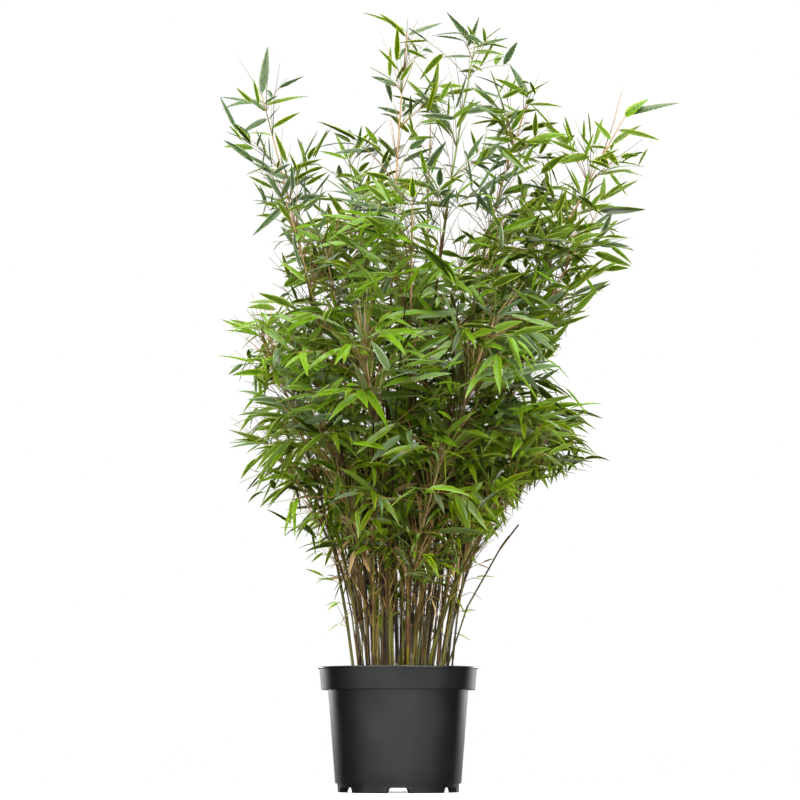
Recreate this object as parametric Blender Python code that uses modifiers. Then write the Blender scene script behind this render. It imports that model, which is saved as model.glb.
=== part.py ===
"""Clump-forming bamboo in a black nursery pot, standing on the floor.

Metres, +Z up, seen from the front along +Y. A clump of culms, the woody canes of a bamboo, rises from the compost
and fans out. Each culm follows one arc. Its bare lower part is one solid, and the leafy top that grows on from it,
0.3 mm clear, is another: a stem with twigs and leaves fused on. A few thin culms carry no leaves.
Everything is built round the pot's axis, and then moved so that the origin lies under the middle of the whole plant.
"""

import math
import random
from collections import namedtuple

import bmesh
import bpy
import numpy as np
from mathutils import Matrix, Vector
from mathutils.bvhtree import BVHTree

# The pot
RIM_RADIUS = 0.140
POT_HEIGHT = 0.216
LIP_THICKNESS = 0.0030
BAND_TOP_RADIUS = 0.1372
BAND_FOOT_RADIUS = 0.1340
BAND_HEIGHT = 0.0395
WALL_TOP_RADIUS = 0.1220
WALL_FOOT_RADIUS = 0.1095
WALL_THICKNESS = 0.0022
FOOT_RADIUS = 0.1060
FOOT_HEIGHT = 0.0154
FOOT_WIDTH = 0.0130
FLOOR_UNDERSIDE = 0.0105
POT_STEPS = 40

# The drain notches in the foot ring
NOTCH_COUNT = 6
NOTCH_HEIGHT = 0.0092
NOTCH_OUTER_WIDTH = 0.0430
NOTCH_INNER_WIDTH = 0.0200
NOTCH_SPREAD = 0.0060
DRAIN_HOLE_RADIUS = 0.0070
DRAIN_HOLE_RING = 0.0760

# The compost
COMPOST_TOP = 0.190
CLEARANCE = 0.0003

# The culms
CULM_BASE_RADIUS = 0.0040
CULM_TIP_RADIUS = 0.0020
CULM_POINTS = 5
CLUMP_SHARE = 0.27
CLUMP_RADIUS = 0.086
RISE_SHARE = 0.55
LEAN_SHARE = 0.20
SWAYS = (0.0, 0.012, -0.012, 0.024, -0.024, 0.036, -0.036)
CULM_SPACING = 0.0115
STRAIGHT_START = 0.006
BARE_CULM_COUNT = 2
BARE_CULM_RADIUS = 0.0030

# The foliage
STEM_SIDES = 4
TWIG_SIDES = 3
TWIG_RADIUS = 0.0016
TWIG_TIP_RADIUS = 0.0012
TWIG_LENGTH = 0.065
LEAVES_PER_TWIG = 4
LEAF_WIDTH = 0.040
LEAF_THICKNESS = 0.0030
LEAF_WIDEST_AT = 0.36
LEAF_ARCH = 0.05
LEAF_SINK = 0.0003
ROOT_REACH = 0.007
LEAF_TRIES = 24
TWIG_TRIES = 12
MASS_MARGIN = 0.0015
LIMB_MARGIN = 0.0035
GOLDEN_ANGLE = math.radians(137.508)

Mass = namedtuple("Mass", "name top spear half_width half_height cut droop twigs leaf_length")
Culm = namedtuple("Culm", "name base bend top radius")

# The tall culms that stand out of the crown: the place of each top, the tip of the leaf that grows on from it,
# and the share of the culm below its leafy part.
PLUMES = (
    ("plume_left", (-0.236, 0.020, 1.190), (-0.234, 0.010, 1.300), 0.74),
    ("plume_inner_left", (-0.090, 0.080, 1.130), (-0.115, 0.080, 1.180), 0.74),
    ("plume_centre_left", (0.010, -0.010, 1.330), (-0.050, -0.010, 1.378), 0.72),
    ("plume_centre_back", (0.060, 0.110, 1.240), (0.075, 0.110, 1.330), 0.72),
    ("plume_centre_right", (0.136, -0.040, 1.312), (0.085, -0.040, 1.378), 0.72),
    ("plume_right_of_centre", (0.226, 0.050, 1.215), (0.300, 0.050, 1.240), 0.72),
    ("plume_right", (0.405, 0.000, 1.195), (0.500, 0.000, 1.214), 0.76),
    ("plume_right_low", (0.350, -0.060, 1.010), (0.440, -0.080, 1.010), 0.76),
    ("plume_left_low", (-0.195, -0.080, 1.020), (-0.255, -0.090, 0.960), 0.76),
)
PLUME_HALF_WIDTH = 0.150
PLUME_HALF_HEIGHT = 0.200
PLUME_TWIGS = 6
PLUME_LEAF_LENGTH = 0.115

# The body of the crown in rings of culm tops: name, height, middle, half width, half depth, number, first angle,
# the share of the culm below its leafy part, and how far its leaves droop.
RINGS = (
    ("upper", 0.990, 0.025, 0.165, 0.150, 5, -90.0, 0.75, 0.30),
    ("middle", 0.790, 0.000, 0.265, 0.205, 7, 0.0, 0.73, 0.45),
    ("lower", 0.590, 0.020, 0.245, 0.175, 7, 180.0, 0.68, 0.70),
)
RING_HALF_WIDTH = 0.185
RING_HALF_HEIGHT = 0.170
RING_TWIGS = 5
RING_LEAF_LENGTH = 0.135

# The crown's outline from the front: height, furthest left and furthest right.
OUTLINE = (
    (0.350, -0.115, 0.125),
    (0.405, -0.175, 0.145),
    (0.440, -0.216, 0.190),
    (0.475, -0.250, 0.280),
    (0.530, -0.290, 0.350),
    (0.620, -0.312, 0.370),
    (0.710, -0.321, 0.332),
    (0.795, -0.337, 0.312),
    (0.866, -0.337, 0.350),
    (0.900, -0.245, 0.390),
    (0.970, -0.262, 0.445),
    (1.050, -0.280, 0.435),
    (1.140, -0.325, 0.460),
    (1.226, -0.325, 0.500),
    (1.245, -0.315, 0.320),
    (1.320, -0.290, 0.215),
    (1.378, -0.060, 0.090),
)


def principled(name, color, roughness):
    material = bpy.data.materials.new(name)
    material.use_nodes = True
    shader = material.node_tree.nodes["Principled BSDF"]
    shader.inputs["Base Color"].default_value = (*color, 1.0)
    shader.inputs["Roughness"].default_value = roughness
    shader.inputs["Metallic"].default_value = 0.0
    return material


def add_object(name, mesh, collection, material=None):
    thing = bpy.data.objects.new(name, mesh)
    collection.objects.link(thing)
    if material:
        thing.data.materials.clear()
        thing.data.materials.append(material)
    return thing


def mesh_of(name, bm):
    mesh = bpy.data.meshes.new(name)
    bm.to_mesh(mesh)
    bm.free()
    return mesh


def apply_modifiers(thing):
    """Replaces the object's mesh by what its modifiers make of it."""
    graph = bpy.context.evaluated_depsgraph_get()
    graph.update()
    finished = bpy.data.meshes.new_from_object(thing.evaluated_get(graph))
    thing.modifiers.clear()
    thing.data = finished


# ---- pot ----


def pot_profile():
    """The pot's wall as a closed line of (radius, height), up the inside, down the outside, and back under the floor."""
    band_foot = POT_HEIGHT - BAND_HEIGHT
    floor_top = FLOOR_UNDERSIDE + WALL_THICKNESS
    return (
        (0.0, floor_top),
        (FOOT_RADIUS - WALL_THICKNESS, floor_top),
        (WALL_FOOT_RADIUS - WALL_THICKNESS, FOOT_HEIGHT + WALL_THICKNESS),
        (WALL_TOP_RADIUS - WALL_THICKNESS, band_foot + WALL_THICKNESS),
        (BAND_FOOT_RADIUS - WALL_THICKNESS, band_foot + WALL_THICKNESS),
        (BAND_TOP_RADIUS - WALL_THICKNESS, POT_HEIGHT),
        (RIM_RADIUS, POT_HEIGHT),
        (RIM_RADIUS, POT_HEIGHT - LIP_THICKNESS / 2),
        (BAND_TOP_RADIUS, POT_HEIGHT - LIP_THICKNESS),
        (BAND_FOOT_RADIUS, band_foot),
        (WALL_TOP_RADIUS, band_foot),
        (WALL_FOOT_RADIUS, FOOT_HEIGHT),
        (FOOT_RADIUS, FOOT_HEIGHT),
        (FOOT_RADIUS - 0.001, 0.0),
        (FOOT_RADIUS - FOOT_WIDTH, 0.0),
        (FOOT_RADIUS - FOOT_WIDTH - 0.002, FLOOR_UNDERSIDE),
        (0.0, FLOOR_UNDERSIDE),
    )


def notch_cutter(angle, cutters):
    """A wedge that narrows towards the pot's axis, with side faces that spread downwards."""
    inner, outer = FOOT_RADIUS - FOOT_WIDTH - 0.012, FOOT_RADIUS + 0.010
    bm = bmesh.new()
    bmesh.ops.create_cube(bm, size=2.0)
    for vertex in bm.verts:
        width = NOTCH_OUTER_WIDTH if vertex.co.x > 0 else NOTCH_INNER_WIDTH
        if vertex.co.z < 0:
            width += NOTCH_SPREAD
        vertex.co.y *= width / 2
        vertex.co.x = outer if vertex.co.x > 0 else inner
        vertex.co.z = NOTCH_HEIGHT if vertex.co.z > 0 else -0.005
    bmesh.ops.rotate(bm, verts=bm.verts, matrix=Matrix.Rotation(angle, 3, "Z"))
    return add_object("cut_notch", mesh_of("cut_notch", bm), cutters)


def drain_hole_cutter(angle, cutters):
    middle = Vector((DRAIN_HOLE_RING, 0.0, FLOOR_UNDERSIDE))
    middle.rotate(Matrix.Rotation(angle, 3, "Z"))
    bm = bmesh.new()
    bmesh.ops.create_cone(
        bm,
        cap_ends=True,
        segments=10,
        radius1=DRAIN_HOLE_RADIUS,
        radius2=DRAIN_HOLE_RADIUS,
        depth=0.02,
        matrix=Matrix.Translation(middle),
    )
    return add_object("cut_drain_hole", mesh_of("cut_drain_hole", bm), cutters)


def build_pot(parts, cutters, material):
    profile = pot_profile()
    mesh = bpy.data.meshes.new("pot")
    edges = [(i, i + 1) for i in range(len(profile) - 1)]
    mesh.from_pydata([(radius, 0.0, height) for radius, height in profile], edges, [])
    pot = add_object("pot", mesh, parts, material)
    turn = pot.modifiers.new("turn", "SCREW")
    turn.steps = turn.render_steps = POT_STEPS
    turn.use_merge_vertices = True
    turn.merge_threshold = 0.00001
    for i in range(NOTCH_COUNT):
        angle = math.radians(-90 + 360 * i / NOTCH_COUNT)
        notch_cutter(angle, cutters)
        drain_hole_cutter(angle + math.pi / NOTCH_COUNT, cutters)
    cut = pot.modifiers.new("notches and drain holes", "BOOLEAN")
    cut.operation = "DIFFERENCE"
    cut.operand_type = "COLLECTION"
    cut.collection = cutters
    cut.solver = "MANIFOLD"
    return pot


def build_compost(parts, material):
    """Fills the pot up to a little above the step under its band."""
    step = POT_HEIGHT - BAND_HEIGHT + WALL_THICKNESS
    foot = FLOOR_UNDERSIDE + WALL_THICKNESS + CLEARANCE
    gap = 0.0010
    profile = (
        (0.0, COMPOST_TOP),
        (BAND_FOOT_RADIUS - WALL_THICKNESS - gap, COMPOST_TOP),
        (BAND_FOOT_RADIUS - WALL_THICKNESS - gap, step + CLEARANCE),
        (WALL_TOP_RADIUS - WALL_THICKNESS - gap, step + CLEARANCE),
        (WALL_FOOT_RADIUS - WALL_THICKNESS - gap, FOOT_HEIGHT + WALL_THICKNESS + gap),
        (FOOT_RADIUS - WALL_THICKNESS - gap, foot),
        (0.0, foot),
    )
    mesh = bpy.data.meshes.new("compost")
    edges = [(i, i + 1) for i in range(len(profile) - 1)]
    mesh.from_pydata([(radius, 0.0, height) for radius, height in profile], edges, [])
    compost = add_object("compost", mesh, parts, material)
    turn = compost.modifiers.new("turn", "SCREW")
    turn.steps = turn.render_steps = POT_STEPS
    turn.use_merge_vertices = True
    turn.merge_threshold = 0.00001
    return compost


# ---- culms ----


def arc_point(culm, share):
    """A point on the culm's arc, from its foot at 0 to its top at 1: steep at first, then leaning out."""
    return (1 - share) ** 2 * culm.base + 2 * share * (1 - share) * culm.bend + share**2 * culm.top


def culm_radius_at(culm, share):
    return culm.radius + share**1.4 * (CULM_TIP_RADIUS - culm.radius)


def clump_feet(count):
    """Places spread evenly over the round clump, each at its golden angle from the last."""
    feet = []
    for i in range(count):
        reach = CLUMP_RADIUS * math.sqrt((i + 0.5) / count)
        angle = GOLDEN_ANGLE * i
        feet.append(Vector((reach * math.cos(angle), reach * math.sin(angle), COMPOST_TOP + CLEARANCE)))
    return feet


def course_of(culm, heights):
    """Where the culm stands at each of the heights, as rows of x and y. Above its top it goes straight on."""
    points = np.array([arc_point(culm, i / 60) for i in range(61)])
    return np.stack([np.interp(heights, points[:, 2], points[:, i]) for i in (0, 1)])


def clear_of(culm, placed):
    """True if the culm keeps its distance from all those placed before it."""
    for other in placed:
        heights = np.linspace(culm.base.z, min(culm.top.z, other.top.z), 80)
        apart = course_of(culm, heights) - course_of(other, heights)
        if np.hypot(*apart).min() < CULM_SPACING:
            return False
    return True


def plant_culms(wanted):
    """Gives each wanted culm (name, top, radius) a foot and a bend, those that lean out furthest first."""
    feet = clump_feet(len(wanted))
    placed = []
    for name, top, radius in sorted(wanted, key=lambda item: -item[1].xy.length):
        under = Vector((top.x * CLUMP_SHARE, top.y * CLUMP_SHARE, feet[0].z))
        side = Vector((-top.y, top.x, 0.0)).normalized()
        choices = [(foot, sway) for foot in sorted(feet, key=lambda foot: (foot - under).length) for sway in SWAYS]
        for foot, sway in choices:
            bend = foot.lerp(top, LEAN_SHARE) + side * sway
            bend.z = foot.z + RISE_SHARE * (top.z - foot.z)
            culm = Culm(name, foot, bend, top, radius)
            if clear_of(culm, placed):
                break
        feet.remove(foot)
        placed.append(culm)
    return {culm.name: culm for culm in placed}


def leafy_masses():
    """The plumes, and the tops that fill the crown's body ring by ring."""
    masses = []
    plume = (PLUME_HALF_WIDTH, PLUME_HALF_HEIGHT)
    for name, top, spear, cut in PLUMES:
        masses.append(Mass(name, Vector(top), Vector(spear), *plume, cut, 0.0, PLUME_TWIGS, PLUME_LEAF_LENGTH))
    size = (RING_HALF_WIDTH, RING_HALF_HEIGHT)
    for ring, height, middle, half_width, half_depth, count, first, cut, droop in RINGS:
        for i in range(count):
            angle = math.radians(first + 360 * i / count)
            lift = 0.03 * math.cos(2 * angle + height * 9)
            out = Vector((math.cos(angle), math.sin(angle), 0.0))
            top = Vector((middle + half_width * out.x, half_depth * out.y, height + lift))
            spear = top + (out * 0.75 + Vector((0, 0, 0.25))) * 0.10
            masses.append(Mass(f"{ring}_{i + 1}", top, spear, *size, cut, droop, RING_TWIGS, RING_LEAF_LENGTH))
    return masses


def bare_culms():
    """Thin culms that stay among the others and carry no leaves of their own."""
    culms = []
    for i in range(BARE_CULM_COUNT):
        angle = GOLDEN_ANGLE * i + 0.5
        reach = 0.05 + 0.10 * (i + 0.5) / BARE_CULM_COUNT
        top = Vector((reach * math.cos(angle), reach * math.sin(angle), 0.55 + 0.05 * (i % 4)))
        culms.append((f"thin_culm_{i + 1}", top, BARE_CULM_RADIUS))
    return culms


def build_culm(name, culm, end, parts, material):
    """A tapering cane from a flat foot on the compost to where its leafy top begins."""
    curve = bpy.data.curves.new(name, "CURVE")
    curve.dimensions = "3D"
    curve.bevel_depth = 1.0
    curve.bevel_resolution = 1
    curve.use_fill_caps = True
    spline = curve.splines.new("POLY")
    places = [culm.base, culm.base + Vector((0, 0, STRAIGHT_START))]
    radii = [culm.radius, culm.radius]
    for i in range(1, CULM_POINTS):
        share = end * i / (CULM_POINTS - 1)
        places.append(arc_point(culm, share))
        radii.append(culm_radius_at(culm, share))
    spline.points.add(len(places) - 1)
    for point, place, radius in zip(spline.points, places, radii):
        point.co = (*place, 1.0)
        point.radius = radius
    cane = bpy.data.objects.new(name, curve)
    parts.objects.link(cane)
    curve.materials.append(material)
    return cane


# ---- foliage ----


def add_cone(bm, start, end, start_radius, end_radius, sides, turn=0.0):
    along = end - start
    place = (
        Matrix.Translation((start + end) / 2)
        @ along.to_track_quat("Z", "Y").to_matrix().to_4x4()
        @ Matrix.Rotation(turn, 4, "Z")
    )
    bmesh.ops.create_cone(
        bm,
        cap_ends=True,
        segments=sides,
        radius1=start_radius,
        radius2=end_radius,
        depth=along.length,
        matrix=place,
    )


def cone(start, end, start_radius, end_radius, sides, turn=0.0):
    bm = bmesh.new()
    add_cone(bm, start, end, start_radius, end_radius, sides, turn)
    return bm


def leaf_shape(root, tip, roll):
    """A leaf of eight faces: two slim pyramids on one diamond, arched along its length."""
    heading = (tip - root).normalized()
    length = (tip - root).length
    side = heading.cross(roll).normalized()
    normal = side.cross(heading)
    width = LEAF_WIDTH * length / RING_LEAF_LENGTH
    bm = bmesh.new()
    bmesh.ops.create_uvsphere(bm, u_segments=4, v_segments=2, radius=1.0)
    for vertex in bm.verts:
        x, y, z = vertex.co
        if abs(z) > 0.5:
            vertex.co = tip if z > 0 else root - heading * LEAF_SINK
        else:
            middle = root + heading * (LEAF_WIDEST_AT * length) + normal * (LEAF_ARCH * length)
            vertex.co = middle + side * (x * width / 2) + normal * (y * LEAF_THICKNESS / 2)
    bm.normal_update()
    bmesh.ops.recalc_face_normals(bm, faces=bm.faces)
    return bm


def inside_outline(point):
    heights, lefts, rights = np.array(OUTLINE).T
    left, right = np.interp(point.z, heights, lefts), np.interp(point.z, heights, rights)
    return heights[0] < point.z < heights[-1] and left < point.x < right


def limb_trees(culm, mass=None):
    """What a leaf of another mass may not touch: a tube round the whole culm, a little wider than it, and its spear."""
    tube = bmesh.new()
    spans = 12
    for i in range(spans):
        low, high = (arc_point(culm, (i + k) / spans) for k in (0, 1))
        radius = culm_radius_at(culm, i / spans) + LIMB_MARGIN
        add_cone(tube, low, high, radius, radius, 6)
    shapes = [tube, spear_leaf(mass)] if mass else [tube]
    return [BVHTree.FromBMesh(shape) for shape in shapes]


def in_space(point, mass, heart, hearts):
    """True if the point is within the mass's reach of its heart, and clearly nearer to it than to any other heart."""
    away = point - heart
    flat, rise = away.xy.length / mass.half_width, away.z / mass.half_height
    if flat**2 + rise**2 > 1.0 or not inside_outline(point):
        return False
    return all(other is heart or (point - other).length > away.length + 2 * MASS_MARGIN for other in hearts)


def fits(shape, clear_part, mass, heart, hearts, limbs, taken):
    """True if the leaf or twig keeps to its mass's own space, touches no other limb, and crosses nothing before it."""
    if not all(in_space(vertex.co, mass, heart, hearts) for vertex in shape.verts):
        return False
    tree, clear_tree = BVHTree.FromBMesh(shape), BVHTree.FromBMesh(clear_part)
    if any(limb.overlap(tree) for limb in limbs) or any(other.overlap(clear_tree) for other in taken):
        return False
    taken.append(clear_tree)
    return True


def grow_leaves(start, heading, length, place, rng):
    """The leaves of one twig, from its tip back: the last goes straight on, the others spread to either side."""
    leaves = []
    mass, heart = place[:2]
    for i in range(LEAVES_PER_TWIG):
        root = start + heading * (length * (1.0 - 0.25 * i) - 0.002)
        spread = 0.0 if i == 0 else math.radians(55) * (1 if i % 2 else -1)
        for attempt in range(LEAF_TRIES):
            aim = heading.copy()
            aim.rotate(Matrix.Rotation(spread + rng.uniform(-0.6, 0.6), 3, "Z"))
            aim.z += rng.uniform(-0.6, 0.6) - mass.droop
            aim.normalize()
            size = mass.leaf_length * rng.uniform(0.80, 1.08) * (1.0 - 0.018 * attempt)
            roll = Vector((rng.uniform(-0.7, 0.7), rng.uniform(-0.7, 0.7), rng.uniform(0.1, 0.8)))
            roll += heart.xy.to_3d().normalized() * 0.6
            leaf = leaf_shape(root, root + aim * size, roll)
            clear_part = leaf_shape(root + aim * ROOT_REACH, root + aim * size, roll)
            if fits(leaf, clear_part, *place):
                leaves.append(leaf)
                break
            leaf.free()
    return leaves


def spear_leaf(mass):
    """The leaf that goes on from the top of the stem."""
    heading = (mass.spear - mass.top).normalized()
    return leaf_shape(mass.top - heading * ROOT_REACH / 4, mass.spear, Vector((0.2, -1.0, 0.4)))


def grow_stem(mass, culm):
    """The stem of a leafy top goes on from the bare culm, a hair's breadth clear of it."""
    tangent = (arc_point(culm, mass.cut) - arc_point(culm, mass.cut - 0.02)).normalized()
    foot = arc_point(culm, mass.cut) + tangent * CLEARANCE
    return cone(foot, mass.top, culm_radius_at(culm, mass.cut), culm_radius_at(culm, 1.0), STEM_SIDES)


def grow_mass(mass, culm, heart, hearts, limbs, rng):
    """The separate shapes of one leafy top: its stem first, then twigs up the stem, each with its leaves."""
    shapes = [grow_stem(mass, culm), spear_leaf(mass)]
    taken = [BVHTree.FromBMesh(shape) for shape in shapes]
    place = (mass, heart, hearts, limbs, taken)
    lowest = arc_point(culm, mass.cut)
    stem_heading = (mass.top - lowest).normalized()
    first_turn = rng.uniform(0, 2 * math.pi)
    for i in range(mass.twigs):
        share = 0.06 + 0.88 * i / (mass.twigs - 1)
        root = lowest.lerp(mass.top, share)
        for attempt in range(TWIG_TRIES):
            turn = first_turn + GOLDEN_ANGLE * i + rng.uniform(-0.5, 0.5)
            rise = math.radians(5 + 40 * share) + rng.uniform(-0.3, 0.3)
            across = Vector((math.cos(turn), math.sin(turn), 0.0))
            heading = (across * math.cos(rise) + Vector((0, 0, math.sin(rise))) + 0.3 * stem_heading).normalized()
            length = TWIG_LENGTH * rng.uniform(0.7, 1.2) * (1.0 - 0.04 * attempt)
            end = root + heading * length
            twig = cone(root, end, TWIG_RADIUS, TWIG_TIP_RADIUS, TWIG_SIDES, turn)
            clear_part = cone(root + heading * ROOT_REACH, end, TWIG_RADIUS, TWIG_TIP_RADIUS, TWIG_SIDES, turn)
            if fits(twig, clear_part, *place):
                shapes.append(twig)
                shapes += grow_leaves(root, heading, length, place, rng)
                break
            twig.free()
    return shapes


def keep_largest_body(bm):
    """Drops any loose scrap that a union left, and the walls of any hollow sealed inside it."""
    unseen, bodies = set(bm.faces), []
    while unseen:
        body, queue = [], [unseen.pop()]
        while queue:
            face = queue.pop()
            body.append(face)
            for edge in face.edges:
                for other in edge.link_faces:
                    if other in unseen:
                        unseen.discard(other)
                        queue.append(other)
        bodies.append(body)
    bodies.sort(key=len, reverse=True)
    scraps = [face for body in bodies[1:] for face in body]
    bmesh.ops.delete(bm, geom=scraps, context="FACES")


def fuse(name, shapes, parts, material):
    """One solid out of the separate shapes of a mass."""
    bits = bpy.data.collections.new("bits")
    bpy.context.scene.collection.children.link(bits)
    mass = add_object(name, mesh_of(name, shapes[0]), parts, material)
    for shape in shapes[1:]:
        add_object("bit", mesh_of("bit", shape), bits)
    union = mass.modifiers.new("union", "BOOLEAN")
    union.operation = "UNION"
    union.operand_type = "COLLECTION"
    union.collection = bits
    union.solver = "MANIFOLD"
    apply_modifiers(mass)
    for bit in list(bits.objects):
        bpy.data.objects.remove(bit)
    bpy.data.collections.remove(bits)
    bm = bmesh.new()
    bm.from_mesh(mass.data)
    keep_largest_body(bm)
    bm.to_mesh(mass.data)
    bm.free()
    mass.data.materials.clear()
    mass.data.materials.append(material)
    return mass


# ---- the whole plant ----


def stand_on_origin(parts, cutters):
    """Parents every object to one empty, and moves that so that the origin lies under the middle of the whole plant."""
    frame = bpy.data.objects.new("plant_frame", None)
    parts.objects.link(frame)
    graph = bpy.context.evaluated_depsgraph_get()
    graph.update()
    things = [thing for thing in parts.objects if thing is not frame]
    finished = [thing.evaluated_get(graph) for thing in things]
    corners = [thing.matrix_world @ Vector(corner) for thing in finished for corner in thing.bound_box]
    middle = [(min(c[i] for c in corners) + max(c[i] for c in corners)) / 2 for i in (0, 1)]
    for thing in things + list(cutters.objects):
        thing.parent = frame
    frame.location = (-middle[0], -middle[1], 0.0)
    print(f"the pot's axis stands at x {-middle[0]:.5f}, y {-middle[1]:.5f}")


def main():
    for thing in list(bpy.data.objects):
        bpy.data.objects.remove(thing)
    parts = bpy.data.collections.new("potted_bamboo")
    cutters = bpy.data.collections.new("cutters")
    for collection in (parts, cutters):
        bpy.context.scene.collection.children.link(collection)

    black_plastic = principled("black_plastic", (0.025, 0.026, 0.028), 0.5)
    compost_brown = principled("compost_brown", (0.035, 0.022, 0.014), 0.95)
    culm_green = principled("culm_green", (0.17, 0.16, 0.035), 0.45)
    leaf_green = principled("leaf_green", (0.09, 0.20, 0.025), 0.5)

    build_pot(parts, cutters, black_plastic)
    for cutter in cutters.objects:
        cutter.hide_render = True
        cutter.display_type = "WIRE"
    build_compost(parts, compost_brown)

    masses = leafy_masses()
    thin = bare_culms()
    planted = plant_culms([(mass.name, mass.top, CULM_BASE_RADIUS) for mass in masses] + thin)
    culms = [planted[mass.name] for mass in masses]
    thin = [planted[name] for name, *rest in thin]
    for culm, mass in zip(culms, masses):
        build_culm(f"culm_{culm.name}", culm, mass.cut, parts, culm_green)
    for culm in thin:
        build_culm(culm.name, culm, 1.0, parts, culm_green)

    hearts = [arc_point(culm, 0.5 + mass.cut / 2) for culm, mass in zip(culms, masses)]
    limbs = [limb_trees(culm, mass) for culm, mass in zip(culms, masses)] + [limb_trees(culm) for culm in thin]
    for i, (mass, culm) in enumerate(zip(masses, culms)):
        others = [tree for j, trees in enumerate(limbs) if j != i for tree in trees]
        shapes = grow_mass(mass, culm, hearts[i], hearts, others, random.Random(i + 1))
        fuse(f"foliage_{mass.name}", shapes, parts, leaf_green)
    stand_on_origin(parts, cutters)


main()
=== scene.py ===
import math
import random

import bpy
import numpy as np
from mathutils import Matrix, Vector


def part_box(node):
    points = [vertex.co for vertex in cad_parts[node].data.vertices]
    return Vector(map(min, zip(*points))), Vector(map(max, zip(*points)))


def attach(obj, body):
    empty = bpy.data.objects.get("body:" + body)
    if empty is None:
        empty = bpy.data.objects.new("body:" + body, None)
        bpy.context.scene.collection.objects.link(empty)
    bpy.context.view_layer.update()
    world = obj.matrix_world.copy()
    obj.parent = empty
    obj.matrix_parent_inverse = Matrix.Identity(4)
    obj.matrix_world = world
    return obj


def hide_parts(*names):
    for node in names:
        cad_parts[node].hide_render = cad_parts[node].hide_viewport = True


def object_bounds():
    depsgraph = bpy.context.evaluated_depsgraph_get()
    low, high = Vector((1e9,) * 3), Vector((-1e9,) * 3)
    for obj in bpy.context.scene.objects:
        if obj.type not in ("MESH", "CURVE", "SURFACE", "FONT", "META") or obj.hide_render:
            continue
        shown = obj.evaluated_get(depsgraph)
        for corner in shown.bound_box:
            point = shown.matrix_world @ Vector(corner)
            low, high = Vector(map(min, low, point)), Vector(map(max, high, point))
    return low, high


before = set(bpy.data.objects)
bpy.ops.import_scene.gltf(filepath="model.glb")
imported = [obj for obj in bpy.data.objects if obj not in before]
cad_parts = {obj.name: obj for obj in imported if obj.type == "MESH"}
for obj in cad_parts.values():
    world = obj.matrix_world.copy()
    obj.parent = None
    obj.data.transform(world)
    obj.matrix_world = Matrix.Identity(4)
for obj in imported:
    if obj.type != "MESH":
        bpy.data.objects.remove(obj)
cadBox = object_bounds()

# Everything grows round the pot's axis, and is moved to it when its mesh is made.
potLow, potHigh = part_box("pot")
potAxis = Vector(((potLow.x + potHigh.x) / 2, (potLow.y + potHigh.y) / 2, 0.0))
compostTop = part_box("compost")[1].z
goldenAngle = math.radians(137.508)
up = Vector((0, 0, 1))


def linearFromHex(code):
    parts = [int(code[i:i + 2], 16) / 255 for i in (1, 3, 5)]
    return [c / 12.92 if c <= 0.04045 else ((c + 0.055) / 1.055) ** 2.4 for c in parts] + [1.0]


def setSocket(socket, value):
    socket.default_value = linearFromHex(value) if isinstance(value, str) else value


def newMaterial(name, settings):
    material = bpy.data.materials.new(name)
    material.use_nodes = True
    shader = material.node_tree.nodes["Principled BSDF"]
    for socket, value in settings.items():
        setSocket(shader.inputs[socket], value)
    return material


def addNode(owner, kind, settings=None, links=None):
    # For a material or a world. A setting is a socket's name or number, or a property of the node.
    tree = owner.node_tree
    node = tree.nodes["Principled BSDF"] if kind == "Shader" else tree.nodes.new("ShaderNode" + kind)
    for name, value in (settings or {}).items():
        if name == "stops":
            while len(node.color_ramp.elements) < len(value):
                node.color_ramp.elements.new(0.5)
            for element, (place, code) in zip(node.color_ramp.elements, value):
                element.position = place
                element.color = linearFromHex(code)
        elif isinstance(name, int) or name in node.inputs:
            setSocket(node.inputs[name], value)
        else:
            setattr(node, name, value)
    for name, socket in (links or {}).items():
        tree.links.new(socket, node.inputs[name])
    return node


def finishPiece(piece, nodes):
    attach(piece, "root")
    if nodes:
        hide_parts(*nodes)
    faces = sum(len(polygon.vertices) - 2 for polygon in piece.data.polygons)
    print(f"{piece.name}: {faces} triangles")


def nodesNamed(*starts):
    return [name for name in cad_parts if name.startswith(starts)]


def pieceFromArrays(name, vertices, faces, slots, materials, smooth=True):
    mesh = bpy.data.meshes.new(name)
    mesh.from_pydata(vertices + np.array(potAxis), [], faces)
    mesh.polygons.foreach_set("material_index", np.array(slots, np.int32))
    if smooth:
        mesh.polygons.foreach_set("use_smooth", np.ones(len(faces), bool))
    for material in materials:
        mesh.materials.append(material)
    piece = bpy.data.objects.new(name, mesh)
    bpy.context.scene.collection.objects.link(piece)
    return piece


def aroundAxis(turn, reach=1.0, height=0.0):
    return Vector((reach * math.cos(turn), reach * math.sin(turn), height))


def headingAt(course, share, step):
    ahead = min(share + step, 1.0)
    return (course(ahead) - course(ahead - 2 * step)).normalized()


# The culms follow the same arcs as the frame's canes. Shares are of a culm's length or height.
clump = {
    "baseRadius": 0.0040,
    "tipRadius": 0.0020,
    "taper": 1.4,                # 1 is an even taper, and more keeps the culm thick for longer
    "footShare": 0.27,           # how far out a culm stands, as a share of its top's reach
    "footRadius": 0.086,
    "footGap": 0.0003,
    "riseShare": 0.55,
    "leanShare": 0.20,
    "liftFrom": 0.76,
    "sways": (0.0, 0.012, -0.012, 0.024, -0.024, 0.036, -0.036),
    "spacing": 0.0115,
    "courseSteps": 60,
    "spacingChecks": 80,
    "headingStep": 0.01,
}
# Thin culms without leaves of their own. Reach and height are the first one's, and what the others add.
thin = {"count": 2, "radius": 0.0030, "firstTurn": 0.5, "reach": (0.05, 0.10), "height": (0.55, 0.05)}
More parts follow.
